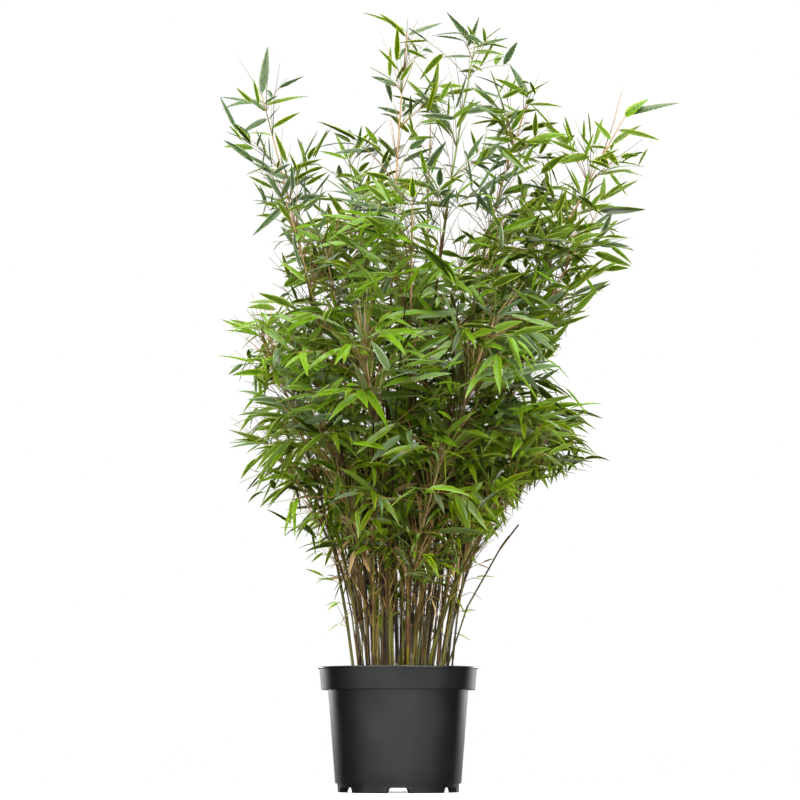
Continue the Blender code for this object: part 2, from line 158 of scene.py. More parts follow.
# Shoots that are too thin for the frame. They stand in the gaps between the canes and end inside the crown.
slender = {
    "count": 84,
    "radius": 0.0020,
    "radiusShares": (0.70, 1.15),
    "spacing": 0.0050,
    "left": -0.072,              # none stands farther to the left
    "sunk": 0.004,
    "footSpread": 1.15,          # area of the feet, as a share of the clump's
    "outShares": (1.2, 2.4),     # reach of the top, as a share of the foot's, and what is added to it
    "outMore": 0.02,
    "turn": 0.4,
    "heights": (0.46, 0.90),
    "sway": 0.015,
    # Shoots that stand apart from the rest: foot and top.
    "apart": (((0.066, -0.055), (0.150, -0.075, 0.600)),),
}

# Tall culms that stand out of the crown: place of the top, tip of the leaf that ends it, and the share of the
# culm below its leaves.
plumes = (
    ("plume_left", (-0.236, 0.020, 1.190), (-0.234, 0.010, 1.300), 0.74),
    ("plume_inner_left", (-0.090, 0.080, 1.130), (-0.115, 0.080, 1.180), 0.74),
    ("plume_centre_left", (0.010, -0.010, 1.330), (-0.050, -0.010, 1.378), 0.72),
    ("plume_centre_back", (0.060, 0.110, 1.240), (0.075, 0.110, 1.330), 0.72),
    ("plume_centre_right", (0.136, -0.040, 1.312), (0.085, -0.040, 1.378), 0.72),
    ("plume_right_of_centre", (0.226, 0.050, 1.215), (0.300, 0.050, 1.240), 0.72),
    ("plume_right", (0.405, 0.000, 1.195), (0.500, 0.000, 1.214), 0.76),
    ("plume_right_low", (0.350, -0.060, 1.010), (0.440, -0.080, 1.010), 0.76),
    ("plume_left_low", (-0.195, -0.080, 1.020), (-0.255, -0.090, 0.960), 0.76),
)

# How far the leafy tops of some of them reach past the canes' arcs.
topLifts = {
    "plume_left": (-0.008, 0.0, 0.046),
    "plume_centre_left": (0.006, 0.0, 0.013),
    "plume_right_of_centre": (0.009, 0.0, 0.020),
}

# The body of the crown, in rings of culm tops.
rings = (
    {"name": "upper", "height": 0.990, "middle": 0.025, "halfWidth": 0.165, "halfDepth": 0.150, "count": 5,
     "first": -90, "cut": 0.75, "droop": 0.30},
    {"name": "middle", "height": 0.790, "middle": 0.000, "halfWidth": 0.265, "halfDepth": 0.205, "count": 7,
     "first": 0, "cut": 0.73, "droop": 0.45},
    {"name": "lower", "height": 0.590, "middle": 0.020, "halfWidth": 0.245, "halfDepth": 0.175, "count": 7,
     "first": 180, "cut": 0.68, "droop": 0.70},
)
# A mass of leaves stands round each culm's top, this wide and high. The tops of a ring rise and fall in a
# wave, and each ends in a leaf that points out and up.
massForm = {
    "plume": {"halfWidth": 0.150, "halfHeight": 0.200},
    "ring": {"halfWidth": 0.185, "halfHeight": 0.170},
    "wave": 0.03,
    "waveShift": 9,              # in radians for each metre of the ring's height
    "spearOut": 0.75,
    "spearUp": 0.25,
    "spearLength": 0.10,
}

# The crown's outline from the front: height, how far single leaves reach to the left and right, and how far
# the dense part goes.
outline = np.array((
    (0.335, -0.125, 0.120, -0.085, 0.080), (0.370, -0.130, 0.130, -0.090, 0.085),
    (0.405, -0.150, 0.145, -0.100, 0.090), (0.440, -0.205, 0.180, -0.120, 0.095),
    (0.475, -0.245, 0.200, -0.145, 0.105), (0.530, -0.285, 0.250, -0.185, 0.100),
    (0.575, -0.305, 0.375, -0.195, 0.240), (0.620, -0.305, 0.390, -0.160, 0.280),
    (0.664, -0.290, 0.380, -0.155, 0.310), (0.710, -0.295, 0.290, -0.165, 0.150),
    (0.760, -0.331, 0.285, -0.245, 0.205), (0.811, -0.331, 0.300, -0.235, 0.230),
    (0.866, -0.285, 0.360, -0.090, 0.300), (0.909, -0.225, 0.410, -0.095, 0.370),
    (0.958, -0.240, 0.430, -0.140, 0.390), (1.007, -0.250, 0.410, -0.140, 0.310),
    (1.056, -0.275, 0.430, -0.190, 0.370), (1.105, -0.300, 0.445, -0.230, 0.370),
    (1.154, -0.325, 0.465, -0.270, 0.350), (1.226, -0.325, 0.500, -0.270, 0.320),
    (1.300, -0.300, 0.230, -0.220, 0.200), (1.378, -0.060, 0.120, -0.050, 0.100),
))
# Open places between the culms' tops: middle across, height, half width, half height, and the share of the
# leaves that is kept there.
windows = (
    (0.108, 1.000, 0.042, 0.085, 0.35),
    (0.108, 1.150, 0.038, 0.080, 0.38),
    (0.022, 1.030, 0.042, 0.085, 0.60),
    (0.305, 1.225, 0.045, 0.050, 0.05),
    (-0.105, 1.270, 0.050, 0.080, 0.00),
    (-0.172, 1.195, 0.046, 0.060, 0.35),
    (-0.215, 0.960, 0.030, 0.045, 0.35),
    (0.100, 1.285, 0.028, 0.035, 0.20),
    (0.390, 1.165, 0.040, 0.035, 0.45),
)


def arcPoint(culm, share):
    onArc = (1 - share) ** 2 * culm["base"] + 2 * share * (1 - share) * culm["bend"] + share**2 * culm["top"]
    late = max(0.0, share - clump["liftFrom"]) / (1 - clump["liftFrom"])
    return onArc + culm["lift"] * late**2


def culmRadius(culm, share):
    return culm["radius"] + share**clump["taper"] * (min(clump["tipRadius"], culm["radius"]) - culm["radius"])


def clumpFeet(count):
    height = compostTop + clump["footGap"]
    return [aroundAxis(goldenAngle * i, clump["footRadius"] * math.sqrt((i + 0.5) / count), height)
            for i in range(count)]


def culmCourse(culm, heights):
    points = np.array([arcPoint(culm, i / clump["courseSteps"]) for i in range(clump["courseSteps"] + 1)])
    return np.stack([np.interp(heights, points[:, 2], points[:, i]) for i in (0, 1)])


def keepsClear(culm, others, spacing):
    for other in others:
        heights = np.linspace(culm["base"].z, min(culm["top"].z, other["top"].z), clump["spacingChecks"])
        apart = culmCourse(culm, heights) - culmCourse(other, heights)
        if np.hypot(*apart).min() < spacing:
            return False
    return True


def bendCulm(name, foot, top, radius, sway):
    side = Vector((-top.y, top.x, 0.0)).normalized()
    bend = foot.lerp(top, clump["leanShare"]) + side * sway
    bend.z = foot.z + clump["riseShare"] * (top.z - foot.z)
    return {"name": name, "base": foot, "bend": bend, "top": top, "radius": radius, "lift": Vector((0, 0, 0))}


def plantCulms(wanted):
    # The culm that leans out most comes first, and takes the nearest foot where it keeps clear of the others.
    feet = clumpFeet(len(wanted))
    placed = []
    for name, top, radius in sorted(wanted, key=lambda item: -item[1].xy.length):
        under = Vector((top.x * clump["footShare"], top.y * clump["footShare"], feet[0].z))
        choices = [(foot, sway) for foot in sorted(feet, key=lambda foot: (foot - under).length)
                   for sway in clump["sways"]]
        for foot, sway in choices:
            culm = bendCulm(name, foot, top, radius, sway)
            if keepsClear(culm, placed, clump["spacing"]):
                break
        feet.remove(foot)
        placed.append(culm)
    return {culm["name"]: culm for culm in placed}


def plantSlender(others):
    rng = random.Random(71)
    footHeight = compostTop - slender["sunk"]
    shoots = [bendCulm(f"shoot_{i + 1}", Vector((*foot, footHeight)), Vector(top), slender["radius"], 0.0)
              for i, (foot, top) in enumerate(slender["apart"])]
    while len(shoots) < slender["count"]:
        turn = rng.uniform(0, math.tau)
        reach = clump["footRadius"] * math.sqrt(rng.uniform(0.0, slender["footSpread"]))
        foot = aroundAxis(turn, reach, footHeight)
        out = rng.uniform(*slender["outShares"]) * reach + slender["outMore"]
        turn += rng.uniform(-slender["turn"], slender["turn"])
        top = aroundAxis(turn, out, rng.uniform(*slender["heights"]))
        radius = slender["radius"] * rng.uniform(*slender["radiusShares"])
        sway = rng.uniform(-slender["sway"], slender["sway"])
        shoot = bendCulm(f"shoot_{len(shoots) + 1}", foot, top, radius, sway)
        if foot.x > slender["left"] and keepsClear(shoot, others + shoots, slender["spacing"]):
            shoots.append(shoot)
    return shoots


def crownMasses():
    masses = []
    for name, top, spear, cut in plumes:
        masses.append({"name": name, "kind": "plume", "top": Vector(top), "spear": Vector(spear), "cut": cut,
                       "droop": 0.0, **massForm["plume"]})
    for ring in rings:
        for i in range(ring["count"]):
            turn = math.radians(ring["first"] + 360 * i / ring["count"])
            out = aroundAxis(turn)
            phase = 2 * turn + ring["height"] * massForm["waveShift"]
            height = ring["height"] + massForm["wave"] * math.cos(phase)
            top = Vector((ring["middle"] + ring["halfWidth"] * out.x, ring["halfDepth"] * out.y, height))
            spear = top + (out * massForm["spearOut"] + up * massForm["spearUp"]) * massForm["spearLength"]
            masses.append({"name": f"{ring['name']}_{i + 1}", "kind": ring["name"], "top": top,
                           "spear": spear, "cut": ring["cut"], "droop": ring["droop"], **massForm["ring"]})
    return masses


def thinCulms():
    culms = []
    for i in range(thin["count"]):
        reach = thin["reach"][0] + thin["reach"][1] * (i + 0.5) / thin["count"]
        height = thin["height"][0] + thin["height"][1] * i
        top = aroundAxis(goldenAngle * i + thin["firstTurn"], reach, height)
        culms.append((f"thin_culm_{i + 1}", top, thin["radius"]))
    return culms


masses = crownMasses()
planted = plantCulms([(mass["name"], mass["top"], clump["baseRadius"]) for mass in masses] + thinCulms())
shoots = plantSlender(list(planted.values()))
for name, lift in topLifts.items():
    planted[name]["lift"] = Vector(lift)
print(f"clump: {len(planted)} culms and {len(shoots)} slender shoots")


# Tubes with few sides, joined: canes, stems, twigs and sheaths.
class TubeSet:
    def __init__(self):
        self.vertices, self.faces, self.slots, self.count = [], [], [], 0

    def add(self, points, radii, sides, slots, tilt=0.0):
        points, radii = np.array(points, float), np.array(radii, float)
        headings = np.gradient(points, axis=0)
        headings /= np.linalg.norm(headings, axis=1)[:, None]
        rough = np.array((0.0, 1.0, 0.0)) if abs(headings[0][1]) < 0.8 else np.array((1.0, 0.0, 0.0))
        across = np.cross(headings, rough)
        across /= np.linalg.norm(across, axis=1)[:, None]
        beside = np.cross(headings, across)
        turns = np.arange(sides) * math.tau / sides
        cosines, sines = np.cos(turns)[None, :, None], np.sin(turns)[None, :, None]
        ring = across[:, None] * cosines + beside[:, None] * sines
        spots = points[:, None] + ring * radii[:, None, None]
        if tilt:  # the last two rings are cut aslant, as the mouth of a sheath is
            spots[-2:] += headings[-2:, None] * (tilt * cosines)
        first = self.count
        self.vertices.append(spots.reshape(-1, 3))
        self.count += spots.shape[0] * sides
        rows = len(points)
        for row in range(rows - 1):
            low, high = first + row * sides, first + (row + 1) * sides
            for side in range(sides):
                after = (side + 1) % sides
                self.faces.append((low + side, high + side, high + after, low + after))
                self.slots.append(slots[min(row, len(slots) - 1)])
        self.faces.append(tuple(first + side for side in range(sides)))
        self.faces.append(tuple(first + (rows - 1) * sides + side for side in reversed(range(sides))))
        self.slots += [slots[0], slots[-1]]

    def piece(self, name, materials):
        return pieceFromArrays(name, np.concatenate(self.vertices), self.faces, self.slots, materials)


# Bamboo leaf: lance-shaped with a short stalk and a drawn-out point, folded a little along its midrib.
leafForm = {
    "stations": (0.04, 0.12, 0.32, 0.58, 0.80, 0.93),
    "widths": (0.10, 0.68, 1.00, 0.84, 0.47, 0.19),
    "thickness": 0.00045,
    "hook": 2.4,                 # how late along the leaf it sags: 2 is an even bend
}


class LeafSet:
    def __init__(self):
        self.rows = []

    def add(self, root, heading, face, length, width, bend, twist, fold, tone):
        self.rows.append((*root, *heading, *face, length, width, bend, twist, fold, tone))

    def piece(self, name, materials):
        # One leaf is a root, stations of left rim, midrib, right rim and underside, and a tip.
        rows = np.array(self.rows)
        count = len(rows)
        root, heading, face = rows[:, 0:3], rows[:, 3:6], rows[:, 6:9]
        length, width, bend, twist, fold = (rows[:, i] for i in (9, 10, 11, 12, 13))
        down = np.array((0.0, 0.0, -1.0)) - heading * -heading[:, 2:3]
        stations = np.array((0.0, *leafForm["stations"], 1.0))
        half = np.array((0.0, *leafForm["widths"], 0.0)) / 2
        share = stations[None, :, None]
        sag = down[:, None] * (bend * length)[:, None, None]
        hook = leafForm["hook"]
        line = root[:, None] + heading[:, None] * length[:, None, None] * share + sag * share**hook
        along = heading[:, None] * length[:, None, None] + hook * sag * share**(hook - 1)
        along /= np.linalg.norm(along, axis=2)[:, :, None]
        side = np.cross(along, face[:, None])
        side /= np.linalg.norm(side, axis=2)[:, :, None]
        upward = np.cross(side, along)
        angle = (twist[:, None] * stations[None])[:, :, None]
        cosine, sine = np.cos(angle), np.sin(angle)
        side, upward = side * cosine + upward * sine, upward * cosine - side * sine
        reach = (width[:, None] * half[None])[:, :, None]
        lift = upward * reach * fold[:, None, None]
        inner = slice(1, -1)
        quad = np.stack((
            (line - side * reach + lift)[:, inner],
            line[:, inner],
            (line + side * reach + lift)[:, inner],
            (line - upward * leafForm["thickness"])[:, inner],
        ), axis=2).reshape(count, -1, 3)
        vertices = np.concatenate((line[:, :1], quad, line[:, -1:]), axis=1)
        # Faces of one leaf, by its own vertices, and whether each is on the underside.
        perLeaf = vertices.shape[1]
        steps = len(leafForm["stations"])
        end = perLeaf - 1
        pattern = [(0, 2, 1), (0, 3, 2), (0, 1, 4), (0, 4, 3)]
        under = [0, 0, 1, 1]
        for step in range(steps - 1):
            left, top, right, low = (1 + 4 * step + i for i in range(4))
            pattern += [(top, top + 4, left + 4, left), (right, right + 4, top + 4, top),
                        (low, left, left + 4, low + 4), (right, low, low + 4, right + 4)]
            under += [0, 0, 1, 1]
        left, top, right, low = (1 + 4 * (steps - 1) + i for i in range(4))
        pattern += [(top, end, left), (right, end, top), (low, left, end), (right, low, end)]
        under += [0, 0, 1, 1]
        faces = [tuple(first + i for i in corner) for first in range(0, count * perLeaf, perLeaf)
                 for corner in pattern]
        tones = rows[:, 14].astype(int)
        slots = (2 * tones[:, None] + np.array(under)[None]).reshape(-1)
        made = pieceFromArrays(name, vertices.reshape(-1, 3), faces, slots, materials)
        mesh = made.data
        # The rims and the midrib are creases: both ends of such an edge have the same place in the pattern.
        ends = np.empty(len(mesh.edges) * 2, np.int32)
        mesh.edges.foreach_get("vertices", ends)
        place = (ends % perLeaf).reshape(-1, 2)
        role = np.where((place == 0) | (place == end), -1, (place - 1) % 4)
        low, high = role.min(axis=1), role.max(axis=1)
        creased = ((low == high) | (low == -1)) & (high < 3)
        sharp = mesh.attributes.new("sharp_edge", "BOOLEAN", "EDGE")
        sharp.data.foreach_set("value", creased)
        return made


# Growth of the crown: at each joint of a stem a bundle of steep sheathed branches, leafy in their outer half,
# with short twigs that end in a hand of leaves. Lengths in metres, angles in degrees, leafWidth as a share of
# the length.
growth = {
    "plume": {"below": 0.12, "branches": (3, 4), "branchLength": (0.060, 0.145), "angle": (16, 50),
              "twigs": (0, 1), "leafLength": (0.048, 0.082), "leafWidth": 0.176, "sag": (0.00, 0.16),
              "spread": (36, 84), "bendOut": 0.25, "faceOut": 0.35, "shoots": (1, 3), "rise": 0.05,
              "thinning": 0.65, "rolled": 0.40},
    "upper": {"below": 0.20, "branches": (4, 6), "branchLength": (0.080, 0.185), "angle": (14, 50),
              "twigs": (1, 2), "leafLength": (0.052, 0.102), "leafWidth": 0.152, "sag": (0.02, 0.24),
              "spread": (28, 74), "bendOut": 0.35, "faceOut": 0.75, "shoots": (4, 7), "rise": 0.00,
              "thinning": 0.45, "rolled": 0.20},
    "middle": {"below": 0.24, "branches": (5, 8), "branchLength": (0.080, 0.200), "angle": (14, 56),
               "twigs": (1, 2), "leafLength": (0.052, 0.106), "leafWidth": 0.150, "sag": (0.05, 0.30),
               "spread": (24, 70), "bendOut": 0.45, "faceOut": 0.90, "shoots": (6, 10), "rise": -0.06,
               "thinning": 0.35, "rolled": 0.12},
    "lower": {"below": 0.26, "branches": (5, 7), "branchLength": (0.070, 0.180), "angle": (16, 66),
              "twigs": (1, 2), "leafLength": (0.048, 0.100), "leafWidth": 0.148, "sag": (0.08, 0.34),
              "spread": (22, 66), "bendOut": 0.55, "faceOut": 0.90, "shoots": (6, 10), "rise": -0.14,
              "thinning": 0.35, "rolled": 0.08},
}
# What all kinds share.
everyKind = {
    "fullness": 1.0,
    "joints": 9,
    "jointShuffle": 0.2,
    "jointEnd": (0.985, 0.99),    # where the last joint stands, and the most that shuffling gives
    "stemPoints": 9,
    "stemSlim": (0.72, 0.50),     # stem's radius as a share of the culm's, below and at the tip
    "stemSides": 6,
    "topTaper": 0.5,              # how much shorter the branches are at the tip
    "fan": 186,                   # angle over which a bundle's branches are spread
    "fanShuffle": 0.3,
}
# Culms that differ from their kind: how full they are, how far below the crown they are leafy, and their
# reach.
special = {
    "plume_left": {"fullness": 2.5, "below": 0.18, "halfHeight": 0.24, "thinning": 0.88},
    "plume_inner_left": {"fullness": 1.1},
    "plume_centre_left": {"fullness": 1.8, "thinning": 0.84},
    "plume_centre_back": {"fullness": 0.5},
    "plume_centre_right": {"fullness": 2.2, "below": 0.18, "halfHeight": 0.23, "thinning": 0.88},
    "plume_right_of_centre": {"fullness": 4.4, "below": 0.20, "halfHeight": 0.23, "thinning": 0.55},
    "plume_right": {"fullness": 4.3, "below": 0.30, "halfHeight": 0.30, "thinning": 0.97},
    "plume_right_low": {"fullness": 3.2, "below": 0.28, "halfHeight": 0.28, "angle": (20, 70)},
    "plume_left_low": {"fullness": 0.6},
    "middle_1": {"fullness": 1.4},
    "middle_4": {"fullness": 0.8},
    "middle_5": {"fullness": 0.8},
    "lower_1": {"fullness": 0.6},
    "lower_2": {"fullness": 0.8},
    "lower_7": {"fullness": 0.6},
    "lower_4": {"fullness": 2.4, "branchLength": (0.100, 0.210), "thinning": 0.10},
    "lower_5": {"fullness": 2.2, "branchLength": (0.100, 0.210), "thinning": 0.10},
}

greenStems = ("plume_inner_left", "plume_centre_right", "upper_2", "upper_4", "middle_3", "lower_2")

# The crown thins out towards its outline and its top, where only single sprays reach.
edge = {
    "steps": (0.0, 0.4, 1.0),
    "kept": (1.0, 0.48, 0.22),
    "denseDepth": 0.20,
    "depth": 0.32,
    "heights": (0.88, 0.98, 1.06, 1.378),
    "keptShares": (1.0, 0.78, 0.72, 0.72),
}
stemSlot, tanTwigSlot, greenTwigSlot, dryTwigSlot = range(4)
fullTone, deepTone, oldAndShadeTone, dryTone = 1, 2, 4, 5      # as counted in leafTones
leafSets = {kind: LeafSet() for kind in growth}
stemTubes, twigTubes = TubeSet(), TubeSet()
growRoom = (cadBox[0].y - potAxis.y, cadBox[1].y - potAxis.y)


def outlineAt(height):
    return [np.interp(height, outline[:, 0], outline[:, column]) for column in (1, 2, 3, 4)]


def throughWindow(point, rng):
    for across, height, halfWidth, halfHeight, kept in windows:
        if math.hypot((point.x - across) / halfWidth, (point.z - height) / halfHeight) < 1.0:
            return rng.random() > kept
    return False


def inReach(point, mass, heart):
    away = point - heart
    flat, rise = away.xy.length / mass["halfWidth"], away.z / mass["halfHeight"]
    left, right = outlineAt(point.z)[:2]
    inOutline = left < point.x < right and outline[0][0] < point.z < outline[-1][0]
    return inOutline and growRoom[0] < point.y < growRoom[1] and flat**2 + rise**2 <= 1.0


def keptNearEdge(point, rng):
    left, right, denseLeft, denseRight = outlineAt(point.z)
    aside = max((denseLeft - point.x) / (denseLeft - left), (point.x - denseRight) / (right - denseRight))
    deep = (abs(point.y) - edge["denseDepth"]) / (edge["depth"] - edge["denseDepth"])
    chance = np.interp(max(aside, deep), edge["steps"], edge["kept"])
    return rng.random() < chance * np.interp(point.z, edge["heights"], edge["keptShares"])


# How a leaf stands. One that would leave its mass is turned and shortened, and left out after some tries.
leafPose = {
    "tries": 4,
    "turnAway": 0.25,
    "shorten": 0.05,
    "middle": 0.55,
    "faceUp": 0.75,              # the upper face looks up ...
    "faceSpread": 0.75,
    "faceOut": (0.0, 1.4),
    "steep": 0.75,               # ... and out, where the leaf stands or hangs steeper than this
    "steepOut": 1.4,
    "widthShares": (0.80, 1.18),
    "twist": 0.7,
    "fold": (0.08, 0.42),
}


def addLeaf(kind, root, heading, length, rng, tone, sag, place=None, face=None, widthShare=None):
    for attempt in range(leafPose["tries"]):
        aim = heading.copy()
        if attempt:
            shift = Vector([rng.uniform(-1, 1) for i in range(3)])
            aim = (aim + shift * leafPose["turnAway"] * attempt).normalized()
        size = length * (1 - leafPose["shorten"] * attempt)
        if place is None:
            break
        tip = root + aim * size + (aim * aim.z - up) * (sag * size)
        middle = root.lerp(tip, leafPose["middle"])
        if inReach(tip, *place) and not (throughWindow(tip, rng) or throughWindow(middle, rng)):
            break
    else:
        return
    out = Vector((root.x, root.y, 0.0)).normalized()
    if face is None:
        spread = leafPose["faceSpread"]
        face = Vector((rng.gauss(0, spread), rng.gauss(0, spread), leafPose["faceUp"]))
        face += out * growth[kind]["faceOut"] * rng.uniform(*leafPose["faceOut"])
        if abs(aim.z) > leafPose["steep"]:
            face += out * leafPose["steepOut"]
    face = (face - aim * face.dot(aim)).normalized()
    width = size * (widthShare or growth[kind]["leafWidth"] * rng.uniform(*leafPose["widthShares"]))
    twist, fold = rng.uniform(-leafPose["twist"], leafPose["twist"]), rng.uniform(*leafPose["fold"])
    leafSets[kind].add(root, aim, face, size, width, sag, twist, fold, tone)


# Leaves stand in two rows along a branch or twig, and the last goes straight on from its tip. Shares are of
# the branch's length.
spray = {
    "leaves": (3, 4),
    "first": 0.42,
    "handLeaves": (2, 3),        # on a twig
    "handFirst": 0.60,
    "lowest": 0.15,
    "shuffle": 0.2,
    "step": 0.02,
    "lean": 0.5,                 # how far a spray's upright leans
    "mood": 0.26,                # some sprays rise and others hang
    "lastSpread": 0.35,
    "lift": (-0.28, 0.30),
    "droop": (0.0, 0.95),
    "lengthShares": (0.78, 0.22),       # at the branch's root, and what is added towards its tip
    "ownTone": 0.7,              # chance that a leaf has its spray's tone
    # The newest leaf still stands rolled up, thin as a needle.
    "needleStep": 0.04,
    "needleLength": (0.030, 0.062),
    "needleRadii": (0.0007, 0.00015),
    "needleRise": 0.35,
    "needleSpread": 0.3,
    "needleSag": 0.05,
}


def addSpray(kind, path, leafCount, rng, tone, place, firstShare):
    mass = place[0]
    habit = mass["habit"]
    lean = spray["lean"]
    upright = Vector((rng.uniform(-lean, lean), rng.uniform(-lean, lean), 1.0)).normalized()
    mood = rng.gauss(habit["rise"], spray["mood"])
    for i in range(leafCount):
        isLast = i == leafCount - 1
        shuffled = i + rng.uniform(-spray["shuffle"], spray["shuffle"])
        share = firstShare + (1 - firstShare) * shuffled / max(leafCount - 1, 1)
        share = 1.0 if isLast else min(max(share, spray["lowest"]), 1.0)
        along = headingAt(path, share, spray["step"])
        across = along.cross(upright).normalized() * (1 if i % 2 else -1)
        if isLast:
            spread = rng.uniform(0.0, spray["lastSpread"])
        else:
            spread = math.radians(rng.uniform(*habit["spread"]))
        aim = along * math.cos(spread) + across * math.sin(spread)
        aim += upright * rng.uniform(*spray["lift"])
        aim.z += mood - mass["droop"] * rng.uniform(*spray["droop"])
        base, more = spray["lengthShares"]
        length = rng.uniform(*habit["leafLength"]) * (base + more * share)
        leafTone = tone if rng.random() < spray["ownTone"] else chooseTone(kind, path(share), rng)
        addLeaf(kind, path(share), aim.normalized(), length, rng, leafTone, rng.uniform(*habit["sag"]), place)
    if rng.random() < habit["rolled"]:
        along, aside = (path(1.0) - path(1.0 - spray["needleStep"])).normalized(), spray["needleSpread"]
        aim = along + Vector((rng.uniform(-aside, aside), rng.uniform(-aside, aside), spray["needleRise"]))
        length = rng.uniform(*spray["needleLength"])
        needle = branchPath(path(1.0), aim.normalized(), length, -spray["needleSag"] * up)
        if inReach(needle(1.0), *place):
            addTwig(needle, 3, *spray["needleRadii"], (greenTwigSlot,))


def branchPath(root, heading, length, bend):
    return lambda share: root + heading * (length * share) + bend * (length * share**2)


def addTwig(path, points, startRadius, endRadius, slots):
    shares = np.linspace(0, 1, points)
    radii = startRadius + (endRadius - startRadius) * shares
    twigTubes.add([path(share) for share in shares], radii, 3, slots)


def leaveStem(stemHeading, turn, angle):
    # Direction of a branch, and the way across the stem to its side.
    out = aroundAxis(turn)
    across = (out - stemHeading * out.dot(stemHeading)).normalized()
    return stemHeading * math.cos(angle) + across * math.sin(angle), across


branching = {
    "sag": (0.08, 0.40),         # of every branch, and more where the culm droops
    "sagShares": (0.2, 1.2),
    "tries": 3,
    "shortenTo": 0.80,           # a branch that leaves its mass is shortened to this share
    "tanShare": 0.75,
    "radii": (0.0008, 0.0012),
    "endRadius": 0.0005,
    "twigPlace": (0.25, 0.80),
    "twigLength": (0.030, 0.070),
    "twigAlong": 0.8,
    "twigAside": 0.7,
    "twigRise": (-0.3, 0.5),
    "twigSag": 0.15,
    "twigRadii": (0.0007, 0.0004),
    # Steep bare shoots in their sheaths stand close round each joint.
    "shootAngle": (5, 24),
    "shootLength": (0.035, 0.140),
    "shootBend": 0.12,
    "shootRadii": (0.0007, 0.0012),
    "shootEndRadius": 0.0003,
}


def growBranch(kind, root, stemHeading, turn, rng, place, taper):
    mass = place[0]
    habit = mass["habit"]
    angle = math.radians(rng.uniform(*habit["angle"]))
    heading, across = leaveStem(stemHeading, turn, angle)
    length = rng.uniform(*habit["branchLength"]) * taper
    least, more = branching["sag"]
    sag = -least - more * mass["droop"] * rng.uniform(*branching["sagShares"])
    bend = across * habit["bendOut"] + Vector((0, 0, sag))
    for attempt in range(branching["tries"]):
        path = branchPath(root, heading, length, bend)
        if inReach(path(1.0), *place):
            break
        length *= branching["shortenTo"]
    else:
        return
    if throughWindow(path(1.0), rng) or not keptNearEdge(path(1.0), rng):
        return
    tone = chooseTone(kind, path(1.0), rng)
    low = tanTwigSlot if rng.random() < branching["tanShare"] else greenTwigSlot
    addTwig(path, 5, rng.uniform(*branching["radii"]), branching["endRadius"], (low, low, low, greenTwigSlot))
    addSpray(kind, path, rng.randint(*spray["leaves"]), rng, tone, place, spray["first"])
    for i in range(rng.randint(*habit["twigs"])):
        share, step = rng.uniform(*branching["twigPlace"]), spray["step"]
        along = (path(share + step) - path(share - step)).normalized()
        sideways = along.cross(up) * rng.choice((-1, 1))
        rise = Vector((0, 0, rng.uniform(*branching["twigRise"])))
        twigHeading = (along * branching["twigAlong"] + sideways * branching["twigAside"] + rise).normalized()
        twigLength = rng.uniform(*branching["twigLength"])
        twig = branchPath(path(share), twigHeading, twigLength, -branching["twigSag"] * up)
        if not inReach(twig(1.0), *place):
            continue
        addTwig(twig, 3, *branching["twigRadii"], (low,))
        addSpray(kind, twig, rng.randint(*spray["handLeaves"]), rng, tone, place, spray["handFirst"])


def growBareShoots(root, stemHeading, rng, place):
    for i in range(rng.randint(*place[0]["habit"]["shoots"])):
        turn, angle = rng.uniform(0, math.tau), math.radians(rng.uniform(*branching["shootAngle"]))
        heading, across = leaveStem(stemHeading, turn, angle)
        length = rng.uniform(*branching["shootLength"])
        shoot = branchPath(root, heading, length, across * branching["shootBend"])
        if inReach(shoot(1.0), *place):
            addTwig(shoot, 3, rng.uniform(*branching["shootRadii"]), branching["shootEndRadius"],
                    (rng.choice((tanTwigSlot, stemSlot, dryTwigSlot, greenTwigSlot)),))


# Tones are dealt out by spray: young, full and deep green, and grey-green with bloom. The young tone is pale
# and greyish: partly the paler green of young leaves, partly painted whitish sheen of lit leaves. The bloom
# tone is partly the leaves' waxy bloom, partly painted pale haze of backlight on the open tops. Towards the
# axis there is less of the young tone, and low down more leaves are old and dark: partly old leaves, partly
# painted shade under the crown, as is the deep green that fills the lower kind. The tall culms at the far
# right are a fuller green.
toneShares = {
    "plume": (0.01, 0.20, 0.37, 0.42),
    "plumeRight": (0.01, 0.30, 0.56, 0.13),
    "upper": (0.18, 0.62, 0.15, 0.05),
    "middle": (0.14, 0.66, 0.17, 0.03),
    # The lower kind is mostly deep green: partly real, partly painted shade under the crown.
    "lower": (0.03, 0.12, 0.82, 0.03),
}
toneChange = {
    "rightFrom": 0.20,
    "innerRadius": 0.22,
    "youngAndSheenInside": 0.6,          # how much of the young tone, with its painted sheen, is gone at the axis
    # More of the dark tone low down: partly old leaves, partly painted shade under the crown.
    "oldAndShadeHeights": (0.40, 0.64),
    "oldAndShadeShares": (1.8, 0.10),
}


def chooseTone(kind, spot, rng):
    isRight = kind == "plume" and spot.x > toneChange["rightFrom"]
    # The young tone is partly painted sheen of lit leaves, and the bloom tone partly painted backlight haze.
    youngAndSheen, full, deep, bloomAndBacklight = toneShares["plumeRight" if isRight else kind]
    inside = max(0.0, 1.0 - spot.xy.length / toneChange["innerRadius"])
    # Low down the dark tone paints shade under the crown as well as old leaves.
    oldAndShade = np.interp(spot.z, toneChange["oldAndShadeHeights"], toneChange["oldAndShadeShares"])
    weights = (youngAndSheen * (1 - toneChange["youngAndSheenInside"] * inside), full, deep * (1 + inside), bloomAndBacklight, oldAndShade)
    return rng.choices(range(5), weights=weights)[0]


